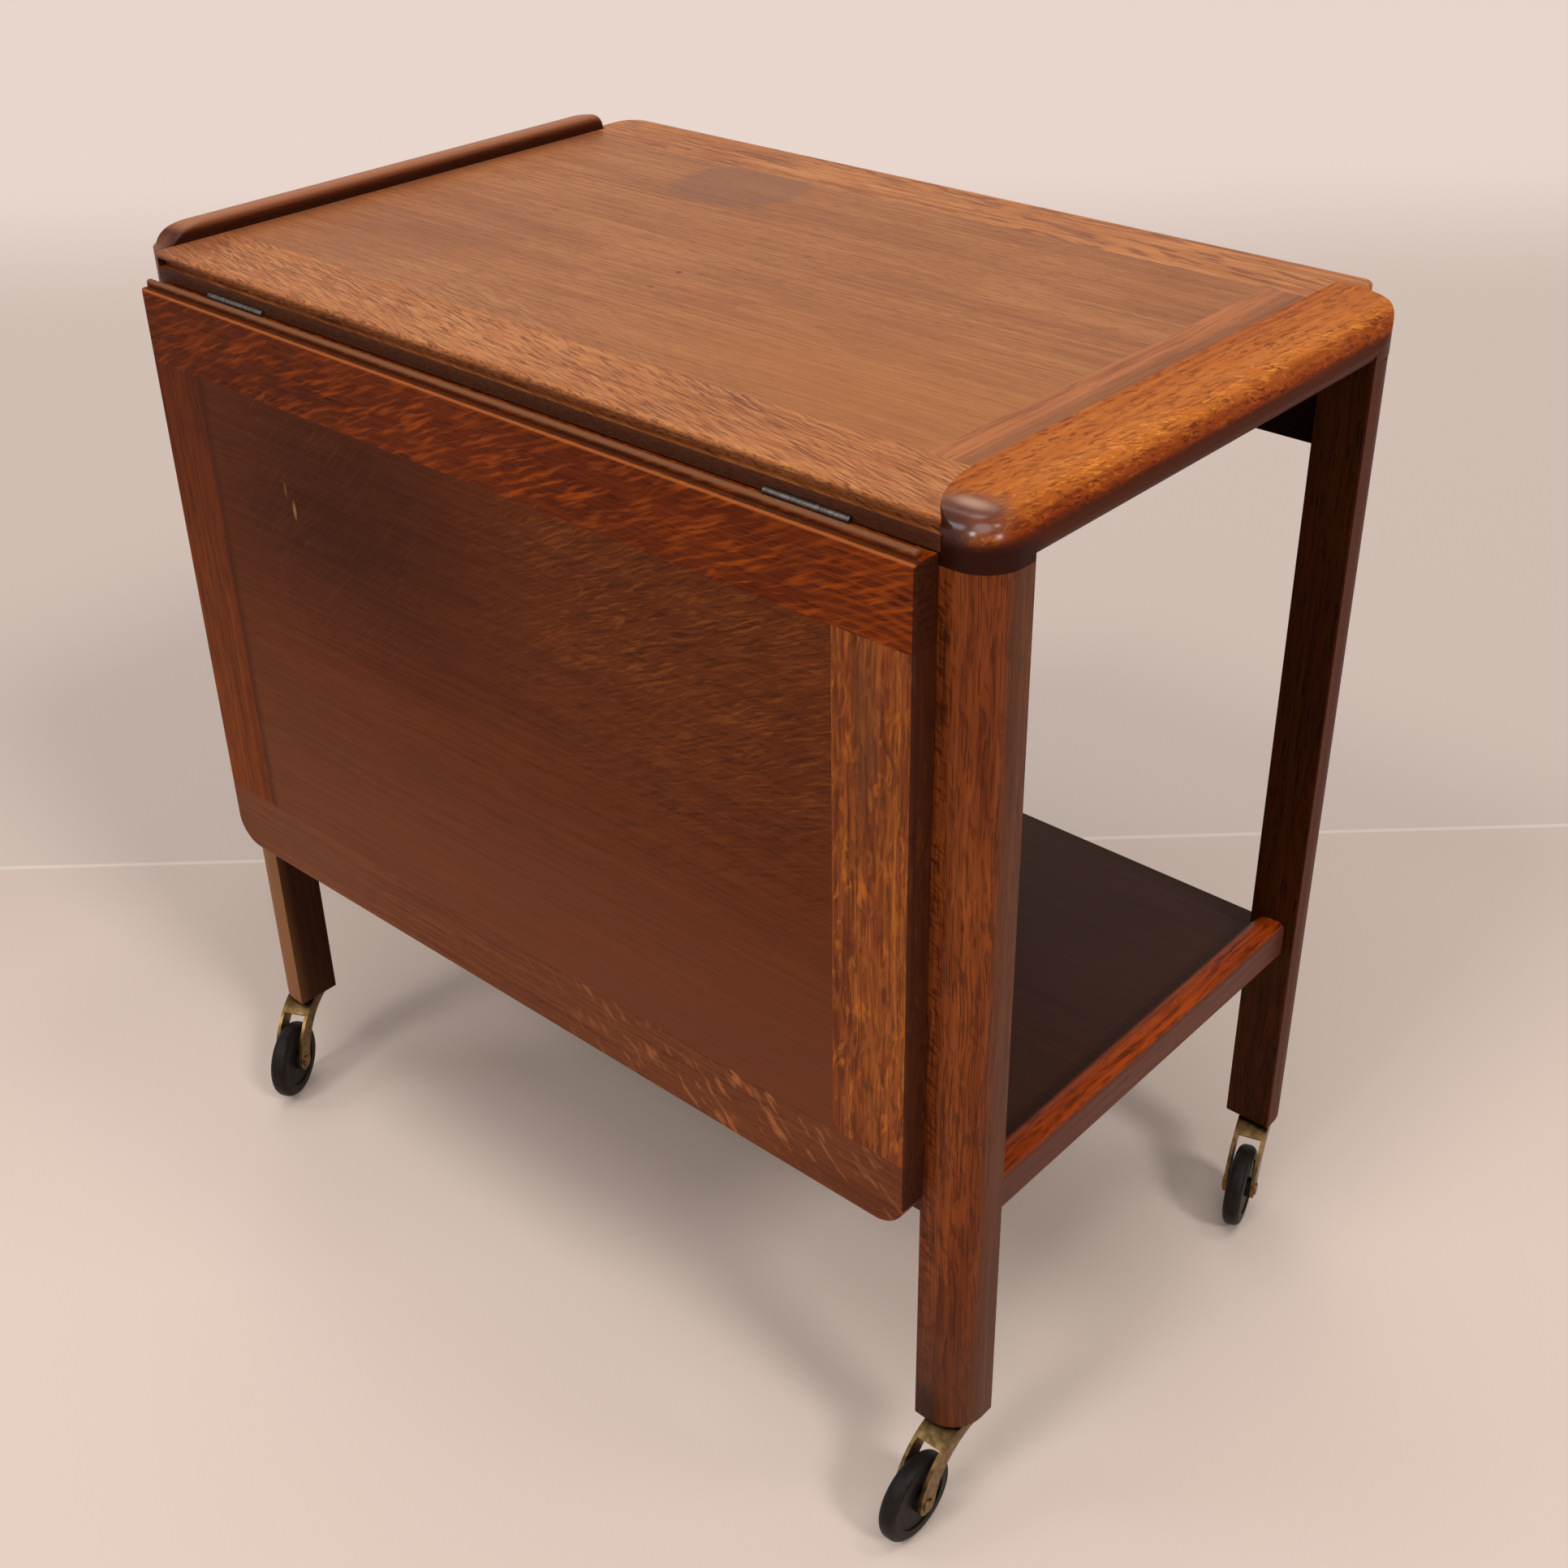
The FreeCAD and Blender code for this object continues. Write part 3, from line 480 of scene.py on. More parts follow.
def pores(colour: str, share: float = 0.5, length: float = 20.0, width: float = 1.1,
          above: float = 0.56) -> Fleck:
    """Gives the open pores of a board.

    Args:
        colour: sRGB hex colour.
        share: How strongly they show.
        length: Length in mm.
        width: Width in mm.
        above: Noise level above which a pore shows.

    Returns:
        The marks.
    """
    return Fleck(colour, share, length, width, above=above)


@dataclass(frozen=True)
class PlainFinish:
    """A metal, rubber or plain wood surface with slight unevenness.

    Attributes:
        name: What the surface is.
        colour: Main colour.
        worn: Colour of the worn or tarnished patches.
        patch: Size of those patches in mm.
        metallic: One for metal.
        roughness: Main roughness.
        grit: Depth of the fine relief in mm.
        gloss: Specular level.
        tarnish_and_shade: sRGB hex colour of the tarnish and painted shade that darken it high up, or empty
            for none.
        tarnish_and_shade_from: Height at which it starts, in mm.
        tarnish_and_shade_full: Height above which it covers, in mm.
    """

    name: str
    colour: str
    worn: str
    patch: float = 6.0
    metallic: float = 0.0
    roughness: float = 0.5
    grit: float = 0.02
    gloss: float = 0.5
    tarnish_and_shade: str = ""
    tarnish_and_shade_from: float = 0.0
    tarnish_and_shade_full: float = 1.0

    def build(self) -> bpy.types.Material:
        """Makes the material.

        Returns:
            The material, with its pattern on Object coordinates.
        """
        material = bpy.data.materials.new(self.name)
        material.use_nodes = True
        tree = material.node_tree
        tree.nodes.clear()
        place = add_node(tree, "ShaderNodeTexCoord").outputs["Object"]
        patches = add_node(tree, "ShaderNodeTexNoise", {
            "Vector": place, "Scale": 1.0 / (self.patch * MM), "Detail": 3.0}).outputs["Fac"]
        share = add_node(tree, "ShaderNodeMapRange", {
            "Value": patches, "From Min": WORN_SPAN[0], "From Max": WORN_SPAN[1]}).outputs[0]
        colour = add_node(tree, "ShaderNodeMix", {0: share, 6: linear(self.colour), 7: linear(self.worn)},
                          data_type="RGBA").outputs[2]
        if self.tarnish_and_shade:
            # Darker high up: tarnish and painted shade.
            height = add_node(tree, "ShaderNodeSeparateXYZ", {0: place}).outputs["Z"]
            tarnish_and_shade_share = add_node(tree, "ShaderNodeMapRange", {
                "Value": height, "From Min": self.tarnish_and_shade_from * MM, "From Max": self.tarnish_and_shade_full * MM}).outputs[0]
            colour = add_node(tree, "ShaderNodeMix", {0: tarnish_and_shade_share, 6: colour, 7: linear(self.tarnish_and_shade)},
                              data_type="RGBA").outputs[2]
        fine = add_node(tree, "ShaderNodeTexNoise", {
            "Vector": place, "Scale": 1.0 / (GRIT_SIZE * MM), "Detail": 2.0}).outputs["Fac"]
        bump = add_node(tree, "ShaderNodeBump", {
            "Height": fine, "Strength": GRIT_RELIEF, "Distance": self.grit * MM}).outputs[0]
        shader = add_node(tree, "ShaderNodeBsdfPrincipled", {
            "Base Color": colour, "Roughness": self.roughness, "Metallic": self.metallic, "Normal": bump,
            "Specular IOR Level": self.gloss})
        add_node(tree, "ShaderNodeOutputMaterial", {"Surface": shader.outputs[0]})
        return material


def dress(nodes: Sequence[str], finish: OakFinish | PlainFinish) -> None:
    """Gives CAD nodes a finish.

    Args:
        nodes: Names of the nodes.
        finish: Their finish.
    """
    material = finish.build()
    for name in nodes:
        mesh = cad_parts[name].data
        mesh.materials.clear()
        mesh.materials.append(material)
        LOG.info("%s is %s", name, finish.name)


# Part of the top along its front edge, where the strokes of the grain lie aslant.
FRONT_OF_TOP = Patch((-60.0, -160.0, 700.0), (330.0, 100.0, FAR), "FFFFFF", 1.0, 0.9)


@dataclass
class TableTop:
    """The framed top with its flush end rail and the raised lip at the other end."""

    # Wiped and served on for years: dull, pale brown, fine even streaks, the ring of a dish, and painted
    # shade along the foot of the raised lip.
    panel: OakFinish = OakFinish(
        "worn shellacked oak, plain sawn", Grain.ALONG_X, "91552C", "A46234", "B3723F", Face.FLAT, streak=2.0,
        contrast=1.7, roughness=0.42, gloss=0.3, seed=1.0,
        flecks=(pores("744221", 0.6, 16.0, 1.0),
                Fleck("7A4622", 0.5, 26.0, 1.2, 14.0, 0.52, 0.3, zone=FRONT_OF_TOP),
                Fleck("C98D58", 0.45, 24.0, 1.5, 14.0, 0.52, 0.3, zone=FRONT_OF_TOP)),
        patches=(Patch((203.0, -110.0, 700.0), (330.0, 170.0, 60.0), "AA642A", 0.45, 0.9),
                 Patch((-142.0, 160.0, 700.0), (57.0, 57.0, 40.0), "80503A", 0.5, 0.2),
                 Patch((-38.0, -12.0, 700.0), (3.0, 3.0, 9.0), "4E2A14", 0.8),
                 Patch((-32.0, -44.0, 700.0), (5.0, 2.0, 9.0), "5E3418", 0.6),
                 Patch((-250.0, -60.0, 700.0), (120.0, 140.0, 60.0), "8C5230", 0.35, 0.9),
                 # Painted shade along the foot of the raised lip.
                 Patch((-339.0, 0.0, 700.0), (24.0, FAR, FAR), "78402A", 0.55, 0.9),
                 Patch((220.0, -142.4, 700.0), (300.0, 1.0, FAR), "74401F", 0.4, 0.6)))
    # Open pores hold old polish, so the rail shows short slanting strokes on an orange ground; painted shade
    # lies along the foot of the raised lip and over the front edge face.
    front: OakFinish = OakFinish(
        "shellacked oak rail, coarse grain", Grain.ALONG_X, "985326", "B26731", "BF763D", Face.FLAT,
        streak=2.4, contrast=1.9, roughness=0.42, gloss=0.3, seed=2.0,
        flecks=(Fleck("673217", 0.7, 26.0, 1.2, 14.0, 0.52),
                Fleck("D18F55", 0.5, 24.0, 1.5, 14.0, 0.52, 0.4)),
        # Painted shade along the foot of the raised lip.
        patches=(Patch((-339.0, -170.0, 700.0), (50.0, FAR, FAR), "78402A", 0.5, 0.9),
                 # Painted shade on the front edge face above the leaf.
                 Patch((0.0, -199.4, 687.0), (FAR, 1.6, 11.6), "3C1405", 0.9, 0.3, polish=-0.3)))
    # Sawn on the quarter: broad dark blades of ray among warm brown streaks.
    rear: OakFinish = OakFinish(
        "shellacked oak rail, quarter sawn", Grain.ALONG_X, "964F22", "B46B32", "C77E44", Face.FLAT,
        contrast=1.7, roughness=0.4, gloss=0.3, seed=3.0,
        flecks=(pores("7C3F1A", 0.4, 18.0, 1.4), Fleck("7C4123", 0.75, 34.0, 5.0, 6.0, 0.54, 0.5)))
    # Grain across the top: a few wide stripes, with a darker one at the joint.
    band: OakFinish = OakFinish(
        "shellacked oak cross band", Grain.ALONG_Y, "884929", "AC6230", "BC703C", Face.FLAT,
        streak=5.0, contrast=1.6, gloss=0.3, seed=4.0, flecks=(pores("66331B", 0.5, 40.0, 1.4),),
        patches=(Patch((293.0, 0.0, 700.0), (16.0, FAR, FAR), "744324", 0.55, 0.9),))
    # Gold on top and over the nose, with painted shade glazed over the nose's outer side; dark brown lower
    # down; and a dark glossy ball at the corner whose pale top is a painted highlight over rubbed wear.
    end_rail: OakFinish = OakFinish(
        "rounded oak end rail, painted shade and highlight", Grain.ALONG_Y, "904218", "B76121", "D07B30", Face.FLAT,
        roughness=0.42, gloss=0.08, seed=5.0,
        flecks=(Fleck("612607", 0.7, 14.0, 2.0, 8.0, 0.51, 0.4, (50.0, 20.0), 8.0, soft=0.14),
                Fleck("F69F3E", 0.6, 12.0, 2.0, 24.0, 0.54, 0.4, (60.0, 30.0), 10.0,
                      Patch((350.0, 0.0, 700.0), (34.0, FAR, FAR), "FFFFFF", 1.0, 0.6), 0.12)),
        # Painted shade glazed over the outer side of the nose.
        patches=(Patch((354.6, 0.0, 700.0), (18.0, FAR, FAR), "A4662E", 0.9, 0.8, 0.0, Laying.GLAZE),
                 Patch((0.0, 0.0, 660.0), (FAR, FAR, 32.5), "451906", 0.95, 0.17, 0.04),
                 Patch((326.0, -200.0, 702.0), (38.0, 44.0, 17.0), "5E2612", 0.88, 0.5, 0.1, varnish=1.0),
                 Patch((316.0, -206.0, 688.0), (26.0, 32.0, 26.0), "2E0E07", 0.9, 0.6),
                 Patch((336.0, -190.0, 672.0), (FAR, 44.0, 20.0), "2A0D07", 0.92, 0.4),
                 # Painted highlight on the top of the ball, over pale rubbed wear.
                 Patch((321.0, -177.0, 700.0), (17.0, 8.0, 6.0), "C8987C", 0.7, 0.9)))
    # Nearly black, with painted shade on the inner face at the foot, a painted highlight along the crown, and
    # painted light on the rounded front end.
    gallery: OakFinish = OakFinish(
        "dark oak lip rail", Grain.ALONG_Y, "3E180A", "54230E", "682E14", Face.FLAT, seed=6.0, roughness=0.34,
        gloss=0.15, flecks=(pores("2C1006", 0.5),),
        # Painted highlight along the crown.
        patches=(Patch((-349.0, 0.0, 717.0), (FAR, FAR, 11.0), "A66A4A", 0.95, 0.5),
                 # Painted shade on the inner face at the foot.
                 Patch((-336.0, 0.0, 699.0), (5.5, FAR, 10.0), "2E1006", 0.9, 0.35),
                 # Painted light on the rounded front end.
                 Patch((-349.0, -203.0, 700.0), (14.0, 26.0, 30.0), "8C5636", 0.6, 0.6)))

    def finish(self) -> None:
        """Dresses the boards."""
        dress(["top_panel"], self.panel)
        dress(["top_front_rail"], self.front)
        dress(["top_rear_rail"], self.rear)
        dress(["top_right_band"], self.band)
        dress(["right_end_rail"], self.end_rail)
        dress(["left_gallery_rail"], self.gallery)


@dataclass
class Leaf:
    """The hanging leaf: a framed panel with its hinge rail at the top."""

    # Quarter sawn under dark polish: slanting flames of paler ray on deep red brown; at the top, painted
    # shade in the ledge, a painted highlight on its arris and a painted sheen on the tongue.
    hinge_rail: OakFinish = OakFinish(
        "quarter sawn oak leaf rail", Grain.ALONG_X, "4A1702", "622404", "752E05",
        gloss=0.06, roughness=0.45, seed=7.0,
        arches=(Arches((283.0, -218.0, 590.0), (9.0, 30.0, 5.5), "933F08", 0.5,
                       Patch((290.0, -218.0, 650.0), (60.0, FAR, 60.0), "FFFFFF", 1.0, 0.6), 1.5),),
        flecks=(pores("2C0B01", 0.5),
                Fleck("9F460A", 0.85, 34.0, 3.0, 24.0, 0.49, 0.5, (120.0, 26.0), 5.0, soft=0.2)),
        patches=(Patch((-330.0, -218.0, 660.0), (320.0, FAR, FAR), "E0DDC0", 1.0, 0.9, 0.0, Laying.GLAZE),
                 Patch((318.0, -209.0, 650.0), (1.2, FAR, FAR), "26130C", 0.84, 0.4),
                 # Painted shade in the ledge.
                 Patch((0.0, -214.0, 681.0), (FAR, 3.0, 1.6), "4A2412", 0.8, 0.4),
                 # Painted highlight on the ledge's arris.
                 Patch((0.0, -218.4, 681.0), (FAR, 2.0, 2.2), "A45A2A", 0.8, 0.5),
                 # Painted sheen on the top of the tongue.
                 Patch((0.0, -210.6, 687.0), (FAR, 6.0, 5.0), "7E5238", 0.85, 0.3)))
    # The same wood, lighter lower down, partly as a painted sheen of the floor, with pale splashes of ray
    # towards one end.
    bottom_rail: OakFinish = OakFinish(
        # Lighter base colours: partly the wood, partly a painted sheen of the floor.
        "quarter sawn oak bottom rail", Grain.ALONG_X, "572B17", "69361D", "794423",
        gloss=0.06, roughness=0.45, seed=8.0,
        flecks=(pores("39190E", 0.4),
                Fleck("AA653A", 0.8, 20.0, 5.0, -42.0, 0.58, 0.3, (90.0, 30.0), 3.0,
                      Patch((193.0, -218.0, 272.0), (230.0, FAR, FAR), "FFFFFF", 1.0, 0.7), 0.12)),
        patches=(Patch((-250.0, -218.0, 272.0), (160.0, FAR, FAR), "7E4C32", 0.35, 0.9),
                 Patch((318.0, -209.0, 270.0), (1.2, FAR, FAR), "30140C", 0.88, 0.4),))
    # Plain dark stile whose broad soft stripes run upright.
    left_stile: OakFinish = OakFinish(
        "dark oak stile", Grain.ALONG_Z, "5A2506", "76350B", "894311", gloss=0.06, roughness=0.45, seed=9.0,
        flecks=(pores("391504", 0.4), Fleck("4B2109", 0.5, 40.0, 7.0, 0.0, 0.5, wave=8.0, soft=0.2)),
        patches=(Patch((-307.0, 0.0, 700.0), (FAR, FAR, 330.0), "B08A68", 0.8, 0.9, 0.0, Laying.GLAZE),
                 Patch((-281.0, 0.0, 500.0), (5.0, FAR, FAR), "341406", 0.6, 0.9)))
    # Plain sawn: tall arches of gold and brown, the liveliest board of the leaf.
    right_stile: OakFinish = OakFinish(
        "bright plain sawn oak stile", Grain.ALONG_Z, "622D15", "8C4822", "AA6126", contrast=1.4, gloss=0.06,
        roughness=0.45, seed=10.0, arches=(Arches((291.6, -218.0, 450.0), (6.0, 30.0, 55.0), "5F270F", 0.5),),
        flecks=(pores("421C0C", 0.35, 30.0, 1.3),
                Fleck("4F2612", 0.6, 26.0, 4.5, 4.0, 0.5, wave=14.0, soft=0.16),
                Fleck("CF7726", 0.5, 20.0, 4.0, -6.0, 0.52, 0.8, (60.0, 16.0), 12.0, soft=0.16)),
        patches=(Patch((288.0, -218.0, 580.0), (12.0, FAR, 80.0), "563422", 0.5, 0.6, 0.3),
                 Patch((318.0, -209.0, 500.0), (1.2, FAR, FAR), "30140C", 0.88, 0.4)))
    # Fumed and almost matt: fine slanting ripples on the right, plain brown below where a painted sheen of
    # the floor lightens it, a small pale scratch.
    panel: OakFinish = OakFinish(
        "fumed quarter sawn oak panel", Grain.ALONG_X, "4D210C", "602C0F", "6F3613",
        gloss=0.06, roughness=0.45, seed=11.0, contrast=0.7,
        flecks=(pores("321407", 0.3, 30.0, 1.0),
                Fleck("341305", 0.6, 34.0, 1.8, 26.0, 0.5, 0.3, (120.0, 60.0), 7.0,
                      Patch((160.0, -218.0, 560.0), (250.0, FAR, 210.0), "FFFFFF", 1.0, 0.8), 0.16),
                Fleck("924E17", 0.5, 30.0, 1.8, 27.0, 0.52, 0.4, (120.0, 60.0), 7.0,
                      Patch((160.0, -218.0, 590.0), (270.0, FAR, 170.0), "FFFFFF", 1.0, 0.8), 0.16),
                Fleck("8B4C1D", 0.35, 40.0, 1.6, 44.0, 0.52, 0.4, (120.0, 60.0), 3.0,
                      Patch((-150.0, -218.0, 560.0), (150.0, FAR, 150.0), "FFFFFF", 1.0, 0.8), 0.16)),
        patches=(Patch((-150.0, -218.0, 570.0), (240.0, FAR, 140.0), "86684C", 0.7, 0.9, 0.0, Laying.GLAZE),
                 # Painted sheen of the floor, lighter lower down.
                 Patch((0.0, -218.0, 297.0), (FAR, FAR, 180.0), "7A452C", 0.4, 0.9),
                 Patch((-281.0, -218.0, 480.0), (7.0, FAR, FAR), "3A1A0C", 0.5, 0.9),
                 Patch((-194.5, -218.0, 561.0), (2.4, 9.0, 9.0), "A8744A", 0.75, 0.8),
                 Patch((-201.5, -218.0, 574.0), (1.6, 9.0, 8.0), "8A5A34", 0.6, 0.8)))

    def finish(self) -> None:
        """Dresses the leaf's boards."""
        dress(["leaf_hinge_rail"], self.hinge_rail)
        dress(["leaf_bottom_rail"], self.bottom_rail)
        dress(["leaf_left_stile"], self.left_stile)
        dress(["leaf_right_stile"], self.right_stile)
        dress(["leaf_panel"], self.panel)


@dataclass
class EndFrames:
    """Legs, aprons, lower shelf and the arms that hold the raised leaf."""

    # Long dark pores on red brown, a greyer outer side that is a painted sheen, and darker towards the foot.
    front_leg: OakFinish = OakFinish(
        "oak leg", Grain.ALONG_Z, "55230B", "783814", "8D471C",
        streak=4.0, contrast=1.3, gloss=0.1, roughness=0.42, seed=12.0,
        flecks=(pores("311207", 0.6, 60.0, 0.9, 0.53),
                Fleck("3B1607", 0.55, 22.0, 3.5, 6.0, 0.5, 0.3, (120.0, 12.0), 9.0, soft=0.16),
                Fleck("280E05", 0.6, 9.0, 3.0, 62.0, 0.5, wave=4.0, soft=0.14,
                      zone=Patch((318.0, -199.4, 400.0), (12.0, 9.0, FAR), "FFFFFF", 1.0, 0.6))),
        patches=(Patch((333.0, -180.0, 90.0), (FAR, FAR, 130.0), "4E2C1C", 0.65, 0.9),
                 Patch((324.0, -197.0, 88.0), (17.0, 20.0, 30.0), "25120B", 0.8, 0.9, 0.2),
                 # Painted sheen: the outer side greyer.
                 Patch((353.0, -178.0, 400.0), (5.0, FAR, FAR), "58382A", 0.65, 0.6)))
    # Pale on its front, partly its own colour and partly painted light; painted shade on the inside face.
    left_leg: OakFinish = OakFinish(
        "oak leg, pale outside", Grain.ALONG_Z, "3A2010", "4E2C14", "5E381C", gloss=0.06, seed=17.0,
        flecks=(pores("1E0D07", 0.6),),
        # Paler front: partly the wood's own colour, partly painted light where it faces the lamps.
        patches=(Patch((-341.0, -208.0, 300.0), (FAR, 20.0, FAR), "98663E", 0.78, 0.7),
                 # Painted shade on the inner face.
                 Patch((-322.0, -178.0, 300.0), (3.0, FAR, FAR), "2C150B", 0.8, 0.5)))
    # Painted shade of the top: near black, with a reddish outer edge.
    other_leg: OakFinish = OakFinish(
        "oak leg in painted shade", Grain.ALONG_Z, "2A1207", "3B1D0B", "48250F", gloss=0.05, seed=13.0,
        flecks=(pores("140604", 0.6), Fleck("52210F", 0.4, 60.0, 3.0, 0.0, 0.52, 0.4)),
        patches=(Patch((352.0, 196.0, 400.0), (3.0, FAR, FAR), "5E2E1E", 0.6, 0.5),))
    # Never polished and seldom seen: matt and almost black.
    apron: OakFinish = OakFinish(
        "dark oak apron", Grain.ALONG_X, "140A06", "1C0F09", "24130C", gloss=0.05,
        seed=14.0, flecks=(pores("0E0704"),))
    # Even dark brown with a satin sheen and hardly any figure.
    shelf: OakFinish = OakFinish(
        "dark oak shelf", Grain.ALONG_X, "361B0E", "3F2011", "462614", Face.FLAT,
        contrast=0.6, roughness=0.42, gloss=0.15, seed=15.0, flecks=(pores("231108", 0.15),))
    # Red orange on the crown, dark where it meets the shelf, and darker on the outer edge under a greyish
    # painted sheen.
    shelf_rail: OakFinish = OakFinish(
        "rounded oak shelf rail", Grain.ALONG_Y, "782A07", "A7420C", "C45412", Face.FLAT,
        gloss=0.1, seed=16.0,
        flecks=(pores("461804", 0.6), Fleck("371103", 0.6, 30.0, 4.0, 0.0, 0.52, 0.4, wave=6.0, soft=0.14)),
        patches=(Patch((318.0, 0.0, 252.0), (9.0, FAR, FAR), "3E1C0E", 0.75, 0.7),
                 # Painted sheen, greyish, on the darker outer face.
                 Patch((345.0, 0.0, 245.0), (5.0, FAR, FAR), "4A2E26", 0.85, 0.5)))
    # Bare beech dowels and blocks: pale, dry and matt.
    raw: PlainFinish = PlainFinish("unfinished beech", "B98E62", "A67C52", roughness=0.7)

    def finish(self) -> None:
        """Dresses the frame's boards."""
        dress(["leg_front_right"], self.front_leg)
        dress(["leg_front_left"], self.left_leg)
        dress(["leg_rear_right", "leg_rear_left"], self.other_leg)
        dress(["front_apron", "rear_apron", "support_arm_left", "support_arm_right"], self.apron)
        dress(["shelf_panel"], self.shelf)
        dress(["shelf_right_rail", "shelf_left_rail"], self.shelf_rail)
        dress(["leg_dowels", "apron_dowels", "shelf_rail_dowels", "top_glue_blocks"], self.raw)


@dataclass
class Hardware:
    """Hinges, screws, bolts and casters."""

    places: tuple[str, ...] = ("front_right", "rear_right", "front_left", "rear_left")
    # Rolled steel gone dull: grey with brownish blotches and a soft glint.
    steel: PlainFinish = PlainFinish("dull rolled steel", "857A6E", "625A52", patch=4.0, metallic=1.0,
                                     roughness=0.4)
    # Thin brass plate, yellow on the arms, darkened high up under the leg by tarnish and painted shade.
    brass: PlainFinish = PlainFinish("tarnished brass plate", "947349", "66502C", patch=5.0, metallic=1.0,
                                     roughness=0.4, tarnish_and_shade="33261A", tarnish_and_shade_from=65.0, tarnish_and_shade_full=76.0)
    # Moulded hard rubber: warm black with a faint even grain.
    hub: PlainFinish = PlainFinish("moulded hard rubber", "1B1513", "14100E", roughness=0.5, gloss=0.15)
    # Rubber scuffed by floors: brownish black, without gloss.
    tyre: PlainFinish = PlainFinish("worn black rubber", "1E1815", "16110F", roughness=0.5, gloss=0.15)

    def finish(self) -> None:
        """Dresses the metal and rubber pieces."""
        dress(["hinge_top_flaps", "hinge_leaf_flaps", "hinge_pins", "hinge_top_screws", "hinge_leaf_screws",
               "arm_pivot_bolts", "arm_washers", "arm_catch_plates", "catch_plate_screws",
               "caster_sockets"], self.steel)
        dress([f"caster_{piece}_{place}" for piece in ("fork", "stem", "axle")
               for place in self.places], self.brass)
        dress([f"caster_hub_{place}" for place in self.places], self.hub)
        dress([f"caster_tyre_{place}" for place in self.places], self.tyre)


@dataclass(frozen=True)
class Lamp:
    """A soft light far enough off to be even over the floor.

    Attributes:
        name: What it stands for.
        towards: Direction from the trolley to the light.
        width: Angle that the light fills, in degrees.
        level: Brightness that it gives a white floor.
        colour: sRGB hex colour.
    """

    name: str
    towards: Point
    width: float
    level: float
    colour: str = "FFFFFF"

    def add(self) -> None:
        """Adds the lamp to the scene."""
        data = bpy.data.lights.new(self.name, "SUN")
        way = Vector(self.towards).normalized()
        data.angle = math.radians(self.width)
        data.energy = self.level * math.pi / way.z
        data.color = linear(self.colour)[:3]
        lamp = bpy.data.objects.new(self.name, data)
        turn = way.to_track_quat("Z", "Y").to_matrix().to_4x4()
        lamp.matrix_world = Matrix.Translation(way * LAMP_AWAY) @ turn
        bpy.context.scene.collection.objects.link(lamp)


